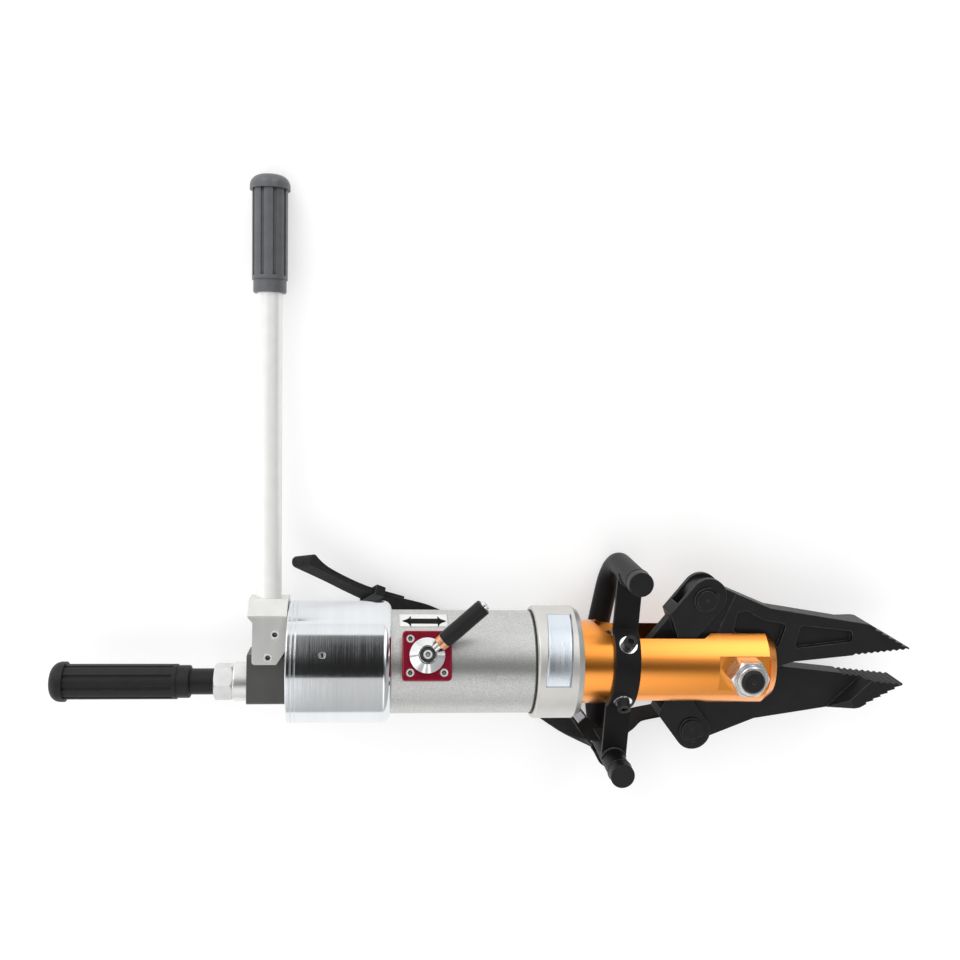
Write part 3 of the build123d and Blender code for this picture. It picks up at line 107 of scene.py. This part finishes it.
def finish(name, colour, metal, rough, grain, size, stretch=(1, 1, 1), relief=0.1, tone=0.08, fleck=0.0,
           edge=0.0006, edge_wear_and_shading=None, edge_share=0.75, shine=0.5, hollow=None):
    """A surface with its own grain. Broad noise tints the colour by up to the tone, and fine noise of one
    size flecks it, shifts its roughness by up to the grain and raises the skin. Edges are eased over a small
    radius. How far the eased direction bends from the flat one says where an edge is, and there the colour
    may change, partly as wear of the finish and partly as painted light: a lighter edge stands in for a
    highlight and a darker rim for shade. Hollows about as narrow as a given width are painted darker, as
    shade."""
    made = bpy.data.materials.new(name)
    made.use_nodes = True
    tree = made.node_tree
    skin = tree.nodes["Principled BSDF"]
    skin.inputs["Metallic"].default_value = metal
    skin.inputs["Specular IOR Level"].default_value = shine
    fine = noise(tree, size, stretch)
    broad = noise(tree, size * cloud_times, stretch, detail=2.0)
    dark = [c * (1 - tone) for c in colour]
    light = [min(c * (1 + tone), 1) for c in colour]
    paint = tones(tree, spread(tree, broad, 0.0, 1.0), (0.0, dark), (1.0, light))
    if fleck:
        paint = between(tree, spread(tree, fine, 0.0, fleck), paint, [c * fleck_shade for c in colour])
    flat = node(tree, "NewGeometry").outputs["Normal"]
    eased = node(tree, "Bevel", {"Radius": edge}, samples=6).outputs[0] if edge else flat
    # Edge colour: partly wear of the finish, partly painted light, lighter edges as painted highlights and
    # darker rims as painted shade.
    if edge_wear_and_shading:
        bend = node(tree, "VectorMath", {0: eased, 1: flat}, operation="DOT_PRODUCT").outputs["Value"]
        edge_wear_and_shading_mask = spread(tree, bend, edge_share, 0.0, edge_bend, flat_bend)
        patch = spread(tree, noise(tree, edge_patch_size), 0.2, 1.0)
        edge_wear_and_shading_mask = node(tree, "Math", {0: edge_wear_and_shading_mask, 1: patch}, operation="MULTIPLY").outputs[0]
        paint = between(tree, edge_wear_and_shading_mask, paint, edge_wear_and_shading)
    # Painted shade: hollows found by ambient occlusion are darkened towards a near-black colour.
    if hollow:
        shut = node(tree, "AmbientOcclusion", {"Distance": hollow}, samples=8).outputs["AO"]
        paint = between(tree, spread(tree, shut, 1.0, 0.0, shut_in, open_air), paint, hollow_shade)
    tree.links.new(paint, skin.inputs["Base Color"])
    tree.links.new(spread(tree, fine, rough - grain, rough + grain), skin.inputs["Roughness"])
    raised = {"Height": fine, "Strength": relief, "Distance": size * relief_depth, "Normal": eased}
    tree.links.new(node(tree, "Bump", raised).outputs[0], skin.inputs["Normal"])
    return made


def wear(material, *names):
    """Gives CAD pieces their finish."""
    for name in names:
        for slot in piece[name].material_slots:
            slot.material = material


blasted = finish("bead_blasted_silver", (0.68, 0.685, 0.67), metal=1.0, rough=0.38, grain=0.06, size=0.001,
                 relief=0.28, tone=0.02, fleck=0.38)
wear(blasted, "barrel")

# Reservoir: a steel sleeve turned and chromed, with the fine rings of the lathe still in it and a bleed
# screw in its side. An end plate closes its rear, and inside it are the pump body, its valves and the
# plunger's gland and rubber seal.
chrome = finish("turned_chrome", (0.78, 0.80, 0.82), metal=1.0, rough=0.11, grain=0.06, size=0.0009,
                stretch=(0.5, 40, 40), relief=0.05, tone=0.02)
bright = finish("bright_plated_steel", (0.80, 0.81, 0.82), metal=1.0, rough=0.14, grain=0.05, size=0.002,
                relief=0.02, tone=0.05)
inner = finish("ground_inner_steel", (0.48, 0.48, 0.48), metal=1.0, rough=0.32, grain=0.08, size=0.0012)
rubber = finish("seal_rubber", (0.014, 0.014, 0.014), metal=0.0, rough=0.6, grain=0.1, size=0.001)
wear(chrome, "reservoir_cover")
wear(inner, "reservoir_end_plate", "pump_body", "check_valves", "plunger_gland")
wear(rubber, "plunger_seal")
# Painted shade: the bleed screw's socket is painted dark by its distance from the middle, with a bright
# plated ring round it.
bleed = bright.copy()
bleed.name = "bleed_screw_painted_socket_shade"
bleed_low, bleed_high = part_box("bleed_screw")
bleed_radius, socket_share, rim_share = (bleed_high.x - bleed_low.x) / 2, 0.42, 0.5
socket_painted_shade, rim_bright = (0.02, 0.02, 0.02), (0.9, 0.9, 0.9)
tree = bleed.node_tree
centred = {"Vector": node(tree, "TexCoord").outputs["Object"],
           "Location": [-(a + b) / 2 for a, b in zip(bleed_low, bleed_high)]}
off = node(tree, "Mapping", centred).outputs[0]
off = node(tree, "VectorMath", {0: off, 1: (1, 1, 0)}, operation="MULTIPLY").outputs[0]
off = node(tree, "VectorMath", {0: off}, operation="LENGTH").outputs["Value"]
rim = tones(tree, spread(tree, off, 0.0, 1.0, 0.0, bleed_radius), (0.0, socket_painted_shade),
            (socket_share, socket_painted_shade), (rim_share, rim_bright), (1.0, rim_bright))
tree.links.new(rim, tree.nodes["Principled BSDF"].inputs["Base Color"])
wear(bleed, "bleed_screw")

# Rear block and handle: a milled block painted dark grey, a satin sleeve and a plated lock nut, and a black
# rod pushed into a fluted rubber grip.
grey_paint = finish("dark_grey_enamel", (0.056, 0.056, 0.052), metal=0.0, rough=0.42, grain=0.06,
                    size=0.0012, relief=0.12, edge_wear_and_shading=(0.5, 0.5, 0.49))
satin = finish("satin_silver", (0.80, 0.80, 0.79), metal=1.0, rough=0.36, grain=0.06, size=0.001, tone=0.04)
lock_nut = finish("plated_lock_nut", (0.74, 0.74, 0.735), metal=0.6, rough=0.36, grain=0.06, size=0.001,
                  relief=0.05)
# Edges are lightened, partly as wear of the black finish and partly as a painted highlight.
black_steel = finish("blackened_steel", (0.011, 0.011, 0.0115), metal=0.15, rough=0.46, grain=0.08,
                     size=0.0012, relief=0.16, tone=0.15, edge=0.0009, edge_wear_and_shading=(0.15, 0.15, 0.155), edge_share=0.9,
                     shine=0.3)
# Painted shade: the grip's flutes are darkened by ambient occlusion.
black_grip = finish("black_rubber_grip", (0.008, 0.008, 0.0085), metal=0.0, rough=0.52, grain=0.08,
                    size=0.0008, relief=0.16, tone=0.2, edge_wear_and_shading=(0.06, 0.06, 0.062), shine=0.35, hollow=0.004)
# Painted shade: the rims are darkened all round, and the hex sockets are darkened by ambient occlusion.
screws = finish("plated_socket_screws", (0.80, 0.80, 0.79), metal=0.6, rough=0.34, grain=0.08, size=0.001,
                relief=0.05, edge=0.0009, edge_wear_and_shading=(0.03, 0.03, 0.03), edge_share=1.0, hollow=0.003)
wear(grey_paint, "rear_block")
wear(satin, "rear_sleeve")
wear(lock_nut, "rear_lock_nut")
wear(black_steel, "rear_handle_rod")
wear(black_grip, "rear_grip")
wear(screws, "end_plate_screws")

# Pump lever: a milled aluminium fork on a socketed pin, an anodised tube and a slate rubber grip, and the
# plated plunger that the fork's second pin drives.
milled = finish("milled_fork", (0.76, 0.76, 0.74), metal=0.85, rough=0.40, grain=0.06, size=0.0009,
                stretch=(1, 6, 1), relief=0.14, tone=0.04, edge_wear_and_shading=(0.9, 0.9, 0.88))
white_tube = finish("white_anodised_tube", (0.91, 0.91, 0.895), metal=0.40, rough=0.38, grain=0.05,
                    size=0.0008, relief=0.05, tone=0.02)
# Painted shade: the grip's grooves are darkened by ambient occlusion.
slate_grip = finish("slate_rubber_grip", (0.095, 0.098, 0.106), metal=0.0, rough=0.40, grain=0.07,
                    size=0.0008, relief=0.16, tone=0.10, edge_wear_and_shading=(0.24, 0.24, 0.245), edge_share=0.9, shine=0.7,
                    hollow=0.004)
wear(milled, "lever_fork")
wear(white_tube, "lever_tube")
wear(slate_grip, "lever_grip")
wear(screws, "lever_pivot_pin", "plunger_drive_pin")
wear(bright, "plunger")

# Selector valve: a red anodised block saddled on the barrel with four sunk screws, a polished hub, a copper
# ferrule and a black stub grip. Beside it an enamelled sign shows the two ways of the lever.
crimson = finish("red_anodised", (0.31, 0.009, 0.032), metal=0.8, rough=0.32, grain=0.06, size=0.001,
                 relief=0.12, edge_wear_and_shading=(0.75, 0.30, 0.36))
# Painted shade: the hub's hollows are darkened by ambient occlusion.
polished_hub = finish("polished_hub", (0.80, 0.81, 0.82), metal=1.0, rough=0.14, grain=0.05, size=0.002,
                      relief=0.02, tone=0.05, hollow=0.005)
copper = finish("copper", (0.80, 0.42, 0.24), metal=1.0, rough=0.26, grain=0.06, size=0.001, relief=0.08)
plastic = finish("black_plastic", (0.009, 0.009, 0.010), metal=0.0, rough=0.42, grain=0.06, size=0.001,
                 edge_wear_and_shading=(0.06, 0.06, 0.065), shine=0.25)
wear(crimson, "valve_block")
wear(screws, "valve_screws", "hub_screw")
wear(polished_hub, "valve_hub")
wear(bright, "valve_stem", "valve_grip_screw")
wear(inner, "valve_spool")
wear(copper, "valve_ferrule")
wear(plastic, "valve_grip")


def surface(name, grid, material, around=False, loop=False, ends=False, span=(1.0, 1.0)):
    """A mesh whose vertices are a grid of points, rows along the piece and columns across it. The columns
    and the rows may close on themselves, and the first and last rows may be closed by caps. Its UV map runs
    with columns and rows, over a span of so many units."""
    rows, columns = grid.shape[:2]
    index = np.arange(rows * columns).reshape(rows, columns)
    index = np.pad(index, ((0, loop), (0, around)), mode="wrap")
    places = np.stack(np.meshgrid(*(np.linspace(0, s, n) for s, n in zip(span, index.shape[::-1]))), -1)
    corners = [np.s_[:-1, :-1], np.s_[:-1, 1:], np.s_[1:, 1:], np.s_[1:, :-1]]
    faces = np.stack([index[c] for c in corners], -1).reshape(-1, 4).tolist()
    flat = np.stack([places[c] for c in corners], -2).reshape(-1, 2)
    smooth = [True] * len(faces)
    if ends:
        faces += [index[0, :columns][::-1].tolist(), index[-1, :columns].tolist()]
        flat = np.vstack([flat, places[0, :columns][::-1], places[-1, :columns]])
        smooth += [False, False]
    mesh = bpy.data.meshes.new(name)
    mesh.from_pydata(grid.reshape(-1, 3).tolist(), [], faces)
    mesh.polygons.foreach_set("use_smooth", smooth)
    mesh.uv_layers.new(name="UVMap").data.foreach_set("uv", flat.ravel())
    made = bpy.data.objects.new(name, mesh)
    bpy.context.scene.collection.objects.link(made)
    mesh.materials.append(material)
    return made


plate_thickness = 0.25


def round_patch(name, radius, stations, edges, material, slant=0.0, thickness=plate_thickness, steps=48):
    """A thin plate bent round the tool's axis: at each station along the axis, an arc on the outside and the
    same arc back on the skin, between a low and a high edge, given as angles from straight up towards the
    lever. Slant is how many millimetres its high edge is shifted along the axis from its low one."""
    stations = np.asarray(stations, float)[:, None]
    low, high = np.radians(np.broadcast_to(edges, (len(stations), 2))).T[..., None]
    turn = np.linspace(0, 1, steps)
    turn = np.concatenate([turn, turn[::-1]])[None, :]
    a = low + (high - low) * turn
    r = np.repeat([radius + thickness, radius], steps)[None, :]
    grid = np.stack([stations + slant * (turn - 0.5), r * np.sin(a), r * np.cos(a)], -1)
    made = surface(name, on_tool(grid)[::-1], material, around=True, ends=True)
    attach(made, "tool_body")
    return made


white_enamel = finish("white_enamel_sign", (0.84, 0.84, 0.82), metal=0.0, rough=0.35, grain=0.06, size=0.002,
                      relief=0.05, tone=0.03)
black_enamel = finish("black_enamel_sign", (0.008, 0.008, 0.0085), metal=0.0, rough=0.5, grain=0.06,
                      size=0.002, relief=0.05, tone=0.03, shine=0.1)
barrel_radius, sign_ends, sign_edges = 44.4, (93.0, 135.0), (58.6, 81.0)
sign = round_patch("valve_sign", barrel_radius, np.linspace(*sign_ends, 24), sign_edges, white_enamel)
arrow_tips, arrow_middle, arrow_thickness = (95.7, 133.1), 67.3, 0.06
head_length, barb_step = 7.4, 0.05
tip_half, head_half, shaft_half = 0.1, 9.0, 4.4
half_arrow = [(0.0, tip_half), (head_length, head_half), (head_length + barb_step, shaft_half)]
outline = [(arrow_tips[0] + x, half) for x, half in half_arrow]
outline += [(arrow_tips[1] - x, half) for x, half in half_arrow[::-1]]
arrow_edges = [(arrow_middle - half, arrow_middle + half) for x, half in outline]
arrow = round_patch("valve_sign_arrow", barrel_radius + plate_thickness, [x for x, half in outline],
                    arrow_edges, black_enamel, thickness=arrow_thickness, steps=12)

# Collar: a turned ring screwed on the barrel, satin cream-silver, with a rubber wiper ring behind it, a bare
# foil plate stuck round its near side, and a small square lug at its front edge.
collar_satin = finish("satin_collar", (0.67, 0.66, 0.63), metal=0.8, rough=0.40, grain=0.05, size=0.001,
                      relief=0.14, tone=0.03)
lug_steel = finish("lug_steel", (0.42, 0.42, 0.43), metal=1.0, rough=0.36, grain=0.06, size=0.001,
                   edge_wear_and_shading=(0.8, 0.8, 0.8))
foil = finish("bare_foil", (0.66, 0.71, 0.76), metal=0.9, rough=0.30, grain=0.06, size=0.003,
              stretch=(1, 8, 8), relief=0.05, tone=0.10)
wear(collar_satin, "collar")
wear(lug_steel, "strap_lug")


def hoop(middle, reach, thickness, axis, steps):
    """A round ring: a small circle of radius thickness carried round a large one of radius reach, which is
    square to an axis, 0 for x and 2 for z."""
    a = np.linspace(0, 2 * math.pi, steps, endpoint=False)[::-1, None]
    b = np.linspace(0, 2 * math.pi, 10, endpoint=False)[None, :]
    r = reach + thickness * np.cos(b)
    ring_points = np.stack([r * np.cos(a), r * np.sin(a), thickness * np.sin(b) + 0 * a], -1)
    return middle + np.roll(ring_points, axis + 1, axis=-1)


wiper_x = (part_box("collar")[0].x - rear_face) * 1000 - 0.45
wiper_reach, wiper_thickness = barrel_radius + 0.3, 0.6
wiper = hoop((wiper_x, 0, 0), wiper_reach, wiper_thickness, axis=0, steps=128)
wiper = surface("collar_wiper", on_tool(wiper), rubber, around=True, loop=True)
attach(wiper, "tool_body")
collar_radius, foil_ends, foil_edges, foil_slant = 49.0, (217.75, 239.45), (-7.6, 73.4), 3.8
plate = round_patch("foil_plate", collar_radius, np.linspace(*foil_ends, 12), foil_edges, foil, foil_slant)

# Inside the barrel: a ground steel piston, its rod and the gland that guides the rod, with rubber seals, and
# the crosshead that the rod pushes, with its pin.
wear(inner, "piston", "piston_rod", "rod_gland", "crosshead", "crosshead_pin")
wear(rubber, "piston_seal", "rod_seal")

# Yoke: a gold anodised aluminium head, slotted for the links and jaws, with a milled seat under the plated
# self-locking nut of the jaws' pivot bolt. A clear seal over the anodising brightens its highlights.
gold = finish("gold_anodised", (1.0, 0.345, 0.038), metal=1.0, rough=0.27, grain=0.001, size=0.0009,
              stretch=(1, 8, 8), relief=0.0, tone=0.006, edge=0.0)
gold_skin = gold.node_tree.nodes["Principled BSDF"]
gold_skin.inputs["Coat Weight"].default_value = 0.8
gold_skin.inputs["Coat Roughness"].default_value = 0.2
zinc = finish("zinc_plated_nut", (0.68, 0.68, 0.69), metal=0.9, rough=0.24, grain=0.06, size=0.001,
              relief=0.05)
wear(gold, "yoke")
wear(zinc, "pivot_nut")
wear(black_steel, "pivot_bolt")

# Jaws: forged steel bell cranks, blackened, with milled pockets, serrated tips and a shearing blade by the
# pivot. Both turn on the one bolt through the yoke.
wear(black_steel, "upper_jaw", "lower_jaw")

# Links: blackened steel forks that join each jaw's tail to the crosshead, on pins held by circlips.
# Pins and circlips have the same black finish.
wear(black_steel, "upper_link", "lower_link")
wear(black_steel, "upper_tail_pin", "lower_tail_pin", "upper_circlips", "lower_circlips")

# Carry handle: a bent steel tube under the yoke, powder-coated black with push-in end plugs, and a strip
# welded between its bars that two socket screws on plated washers pull down on the yoke.
powder = finish("black_powder_coat", (0.007, 0.007, 0.0075), metal=0.0, rough=0.46, grain=0.07, size=0.001,
                relief=0.2, tone=0.12, edge_wear_and_shading=(0.06, 0.06, 0.062), shine=0.15)
glossy_black = finish("glossy_black_paint", (0.010, 0.010, 0.0105), metal=0.0, rough=0.26, grain=0.06,
                      size=0.001)
wear(powder, "carry_handle_tube", "clamp_strip")
wear(plastic, "handle_end_plugs")
wear(black_steel, "clamp_screws")
wear(bright, "clamp_washers")
handle_x, handle_turn = 288.1, math.radians(-2.0)
bar_reach, bar_radius = 84.0, 10.2
strip_top, strip_thickness = 19.68, 4.0
weld_sweep, bead_radius, bead_offset = 80.0, 1.7, 0.35
ripple_depth, ripple_pitch = 0.10, 12.0
lip_height, lip_offset, lip_thickness = 43.3, 0.35, 0.4


def on_handle(points):
    """Millimetres from the middle of the carry handle, turned with it, into places on the tool."""
    x, y, z = np.moveaxis(np.asarray(points, float), -1, 0)
    along_x = handle_x + x * math.cos(handle_turn) - y * math.sin(handle_turn)
    return np.stack([along_x, x * math.sin(handle_turn) + y * math.cos(handle_turn), z], -1)


def weld(name, side, height, lean):
    """A fillet weld round the half of a bar that faces the yoke: a small circle carried along the joint
    line, its radius swelling and sinking with each pass of the torch and closing at both ends."""
    degrees = np.linspace(-weld_sweep, weld_sweep, 97)[:, None]
    ripple = 1 + ripple_depth * np.cos(2 * math.pi * degrees / ripple_pitch)
    closing = np.sqrt(np.clip(1.02 - (degrees / weld_sweep) ** 6, 0.02, 1))
    bead = bead_radius * ripple * closing
    a, b = np.radians(degrees), np.linspace(0, 2 * math.pi, 16, endpoint=False)[None, :]
    reach = bar_radius + bead_offset + bead * np.cos(b)
    z = height + lean * bead_offset + bead * np.sin(b)
    grid = on_handle(np.stack([reach * np.sin(a), side * (bar_reach - reach * np.cos(a)), z], -1))
    made = surface(name, on_tool(grid)[::-side], glossy_black, around=True, ends=True)
    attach(made, "tool_body")


def lip(name, side):
    """The moulded lip of an end plug: a thin round ring about the bar's axis."""
    grid = hoop((0, side * bar_reach, lip_height), bar_radius + lip_offset, lip_thickness, axis=2, steps=64)
    made = surface(name, on_tool(on_handle(grid)), glossy_black, around=True, loop=True)
    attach(made, "tool_body")


for bar_name, side in (("upper", 1), ("lower", -1)):
    weld(f"{bar_name}_bar_weld_near", side, strip_top, 1)
    weld(f"{bar_name}_bar_weld_far", side, strip_top - strip_thickness, -1)
    lip(f"{bar_name}_plug_lip", side)

# Strap: black nylon webbing 25 mm wide, one end sewn round the lower handle bar, led under the barrel to a
# free end that is folded back through a slider, with a short sewn tail on the other side of the bar.
web_width, web_thickness = 0.025, 0.002
bar_x, bar_y = on_handle((0, -bar_reach, 0))[:2]
loop_radius, loop_height = bar_radius + 1.3, 53.55
loop_start, loop_end, loop_step = 85, -175, 5
loop_y = bar_y + loop_radius
sewn_end = np.array([
    (bar_x - 62, bar_y + 33.5, 7.9, 0),
    (bar_x - 50, bar_y + 24.5, 9.5, 0),
    (bar_x - 36, bar_y + 17.5, 18, 12),
    (bar_x - 25, bar_y + 14.0, 34, 48),
    (bar_x - 13, loop_y + 0.6, 47, 78),
    (bar_x - 1, loop_y, loop_height, 90)])
webbing_run = np.array([
    (bar_x - 11.5, bar_y - 1.0, loop_height, 90),
    (bar_x - 15, bar_y + 3.0, 48, 76),
    (bar_x - 24, bar_y + 8.0, 32, 46),
    (bar_x - 35, bar_y + 13.5, 15, 12),
    (bar_x - 51, bar_y + 23.5, 7, 0),
    (215, -45, 4.5, 0),
    (176, -11, 4.5, 0),
    (146, 10, 5.5, 5),
    (120, 26, 8.5, 20),
    (94, 37.5, 13.5, 40),
    (70.5, 47, 18, 50),
    (52.5, 57, 28, 54),
    (31.5, 71, 42, 55),
    (12, 84, 56, 55)])
webbing_tail = np.array([
    (bar_x - 11, loop_y + 2.5, loop_height, 90),
    (bar_x + 2, loop_y + 2.3, loop_height - 1, 90),
    (bar_x + 14, loop_y + 4, loop_height - 14, 86),
    (bar_x + 30, loop_y + 6, 20, 84),
    (bar_x + 52, loop_y + 9, 15, 84),
    (bar_x + 64, loop_y + 10.5, 14, 84)])
steps = 12


def unit(vectors):
    """Each vector made one long."""
    return vectors / np.linalg.norm(vectors, axis=-1, keepdims=True)


def band(stations):
    """The webbing's middle line, width and face directions along a run of stations, each a place, a height
    above the floor and the twist of the width from level. Between two stations a cubic is laid whose end
    slopes are half the step between their neighbours."""
    knots = np.vstack([2 * stations[0] - stations[1], stations, 2 * stations[-1] - stations[-2]])
    a, b, c, d = (knots[i:len(stations) - 1 + i, None, :] for i in range(4))
    t = np.linspace(0, 1, steps, endpoint=False)[None, :, None]
    run = b + (c - a) * t / 2
    run = run + (2 * a - 5 * b + 4 * c - d) * t**2 / 2 + (3 * b - a - 3 * c + d) * t**3 / 2
    run = np.vstack([run.reshape(-1, 4), stations[-1:]])
    line = run[:, :3] - (0, 0, axis_z * 1000)
    ahead = unit(np.gradient(line, axis=0))
    level = unit(np.stack([ahead[:, 1], -ahead[:, 0], 0 * ahead[:, 0]], -1))
    twist = np.radians(run[:, 3:])
    width = level * np.cos(twist) - np.cross(ahead, level) * np.sin(twist)
    return line, width, np.cross(ahead, width)


def ring(start, end):
    """The webbing's middle line, width and face directions on an arc round the lower handle bar."""
    a = np.radians(np.linspace(start, end, int(abs(end - start) / loop_step)))[:-1]
    out = np.stack([np.cos(a), np.sin(a), 0 * a], -1)
    line = out * loop_radius + (bar_x, bar_y, loop_height - axis_z * 1000)
    return line, np.tile((0.0, 0.0, 1.0), (len(a), 1)), -out


def ribbon(name, runs, material):
    """A woven band: a flat section with round edges, carried along the middle line of the runs in turn."""
    line, width, face = (np.vstack(part) for part in zip(*runs))
    half, thick = web_width * 1000 / 2, web_thickness * 1000 / 2
    flat = np.linspace(thick - half, half - thick, 12)
    turn = np.linspace(0, math.pi, 7)[1:-1]
    edge = half - thick + thick * np.sin(turn)
    side = np.concatenate([flat, edge, flat[::-1], -edge])
    lift = np.concatenate([0 * flat + thick, thick * np.cos(turn), 0 * flat - thick, -thick * np.cos(turn)])
    grid = line[:, None] + width[:, None] * side[:, None] - face[:, None] * lift[:, None]
    length = np.linalg.norm(np.diff(line, axis=0), axis=1).sum() / 1000
    made = surface(name, on_tool(grid), material, around=True, ends=True, span=(2 * web_width, length))
    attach(made, "tool_body")
    return made, length


fold_gap, fold_bow, layer_gap = 8.0, 5.0, 0.3
folded_back, fold_closing = 4 * steps, 1.4 * steps
line, width, face = band(webbing_run)
end_line, end_width, end_face = line[-1], width[-1], face[-1]
end_ahead = np.cross(end_width, end_face)
t = np.linspace(0, math.pi, 20)[1:-1, None]
fold_line = end_line + (end_ahead * np.sin(t) + end_face * (1 - np.cos(t))) * fold_gap / 2
fold = (fold_line, np.tile(end_width, (len(t), 1)), end_face * np.cos(t) - end_ahead * np.sin(t))
back = slice(-1, -2 - folded_back, -1)
closing = np.minimum(np.arange(folded_back + 1) / fold_closing, 1)[:, None]
apart = fold_gap * (1 - closing) + (web_thickness * 1000 + layer_gap) * closing
under_line = line[back] + face[back] * apart - width[back] * fold_bow * np.sin(math.pi * closing)
under = (under_line, width[back], -face[back])

weave = finish("black_webbing", (0.016, 0.016, 0.017), metal=0.0, rough=0.78, grain=0.08, size=0.0006,
               relief=0.2, tone=0.2, shine=0.3)
tree = weave.node_tree
skin = tree.nodes["Principled BSDF"]
lengthwise = {"Vector": node(tree, "TexCoord").outputs["UV"], "Rotation": (0, 0, math.pi / 2)}
yarn = node(tree, "TexBrick", {
    "Vector": node(tree, "Mapping", lengthwise).outputs[0], "Scale": 1.0,
    "Color1": (0.013, 0.013, 0.014, 1), "Color2": (0.021, 0.021, 0.023, 1),
    "Mortar": (0.004, 0.004, 0.004, 1), "Mortar Size": 0.00016, "Mortar Smooth": 1.0,
    "Brick Width": 0.0026, "Row Height": 0.0011})
tree.links.new(yarn.outputs["Color"], skin.inputs["Base Color"])
yarn_height = spread(tree, yarn.outputs["Fac"], 1.0, 0.0, 0.0, 1.0)
ribs = node(tree, "Bump", {"Height": yarn_height, "Strength": 0.6, "Distance": 0.0004})
tree.links.new(ribs.outputs[0], skin.inputs["Normal"])
strap_runs = [band(sewn_end), ring(loop_start, loop_end), (line, width, face), fold, under]
strap, strap_length = ribbon("webbing_strap", strap_runs, weave)
# Kept out of mirror reflections, so that the chromed reservoir shows no dark copy of it.
strap.visible_glossy = False
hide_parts("strap")
tail, tail_length = ribbon("webbing_tail", [band(webbing_tail)], weave)
wear(plastic, "strap_slider")

# Studio: white paper under the tool, and round it a tent whose light differs by direction: a dark gap
# overhead, which the chrome mirrors as a black band, bright long sides, a brighter end behind the rear
# handle and a darker one beyond the jaws. A large lamp overhead adds a soft fill.
paper_reach, paper_drop = 30, -0.0005
corner_ways = ((-1, -1), (1, -1), (1, 1), (-1, 1))
paper_corners = [(x * paper_reach, y * paper_reach, paper_drop) for x, y in corner_ways]
floor_mesh = bpy.data.meshes.new("floor")
floor_mesh.from_pydata(paper_corners, [], [(0, 1, 2, 3)])
floor = bpy.data.objects.new("floor", floor_mesh)
bpy.context.scene.collection.objects.link(floor)
paper = bpy.data.materials.new("white_paper")
paper.use_nodes = True
tree = paper.node_tree
skin = tree.nodes["Principled BSDF"]
skin.inputs["Base Color"].default_value = (0.60, 0.60, 0.60, 1)
skin.inputs["Roughness"].default_value = 0.9
skin.inputs["Specular IOR Level"].default_value = 0.0
skin.inputs["Emission Color"].default_value = (1, 1, 1, 1)
paper_glow, seen_glow = 0.28, 0.45
path = node(tree, "LightPath").outputs
seen = path["Is Camera Ray"]
for kind in ("Is Glossy Ray", "Is Transmission Ray"):
    seen = node(tree, "Math", {0: seen, 1: path[kind]}, operation="MAXIMUM").outputs[0]
tree.links.new(spread(tree, seen, paper_glow, seen_glow, 0.0, 1.0), skin.inputs["Emission Strength"])
floor_mesh.materials.append(paper)

world = bpy.data.worlds.new("studio")
bpy.context.scene.world = world
world.use_nodes = True
sky = world.node_tree
first_lean, last_lean = -90, 150
way = node(sky, "SeparateXYZ", {0: node(sky, "TexCoord").outputs["Generated"]}).outputs
lean = node(sky, "Math", {0: way["Y"], 1: way["Z"]}, operation="ARCTAN2").outputs[0]
lean = spread(sky, lean, 0.0, 1.0, math.radians(first_lean), math.radians(last_lean))
aside = node(sky, "Math", {0: way["X"]}, operation="ABSOLUTE").outputs[0]


def panels(*stops):
    """Light round the tool by degrees from overhead towards the lever, with a grey level at each."""
    reach = last_lean - first_lean
    return tones(sky, lean, *(((degrees - first_lean) / reach, (level,) * 3) for degrees, level in stops))


def give_way(value, start, end, first, second):
    """One set of panels that gives way to another while a value goes from start to end."""
    return between(sky, spread(sky, value, 0.0, 1.0, start, end), first, second)


dark_gap = panels((-90, 0.55), (-40, 0.62), (-13, 0.64), (-11.5, 0.018), (21, 0.018), (45, 0.045),
                  (67, 0.20), (69, 1.1), (90, 1.0), (150, 0.8))
mid_sides = panels((-90, 0.55), (-73, 1.10), (-30, 1.70), (-15, 1.40), (-6, 0.06), (12, 0.06), (26, 0.28),
                   (45, 0.80), (62, 0.75), (90, 0.9), (150, 0.8))
open_sides = panels((-90, 0.55), (-40, 0.54), (-28, 0.52), (-20, 0.20), (6, 0.20), (22, 0.9), (38, 3.1),
                    (70, 3.1), (86, 0.9), (150, 0.8))
handle_end = panels((-90, 0.8), (-30, 1.5), (0, 1.4), (18, 0.30), (50, 0.30), (65, 1.5), (150, 1.2))
jaw_end = panels((-90, 0.50), (-30, 0.48), (0, 0.42), (18, 0.06), (50, 0.06), (65, 0.42), (150, 0.45))
glow = give_way(aside, 0.06, 0.12, dark_gap, mid_sides)
glow = give_way(aside, 0.24, 0.32, glow, open_sides)
glow = give_way(way["X"], -0.75, -0.50, handle_end, glow)
glow = give_way(way["X"], 0.45, 0.65, glow, jaw_end)
sky.links.new(glow, sky.nodes["Background"].inputs["Color"])

lamp = bpy.data.lights.new("overhead_fill", "AREA")
lamp.shape = "SQUARE"
lamp.size = 3.0
lamp.energy = 40
fill = bpy.data.objects.new("overhead_fill", lamp)
fill.location = on_tool((-800, 0, 3000))
fill.visible_glossy = False
bpy.context.scene.collection.objects.link(fill)

camera_place = (61.82, 294.66, 862.36)
camera = bpy.data.objects.new("camera", bpy.data.cameras.new("camera"))
camera.data.sensor_width = 36.0
camera.data.lens = 38.587
camera.data.clip_start = 0.01
right = Vector((0.9936, 0.0365, 0.1069))
down = Vector((0.0196, -0.9876, 0.1556))
ahead = Vector((0.1112, -0.1525, -0.9820))
turn = Matrix((right, -down, -ahead)).transposed()
camera.matrix_world = Matrix.Translation(on_tool(camera_place)) @ turn.to_4x4()
bpy.context.scene.collection.objects.link(camera)
bpy.context.scene.camera = camera
bpy.context.scene.view_settings.view_transform = "Standard"
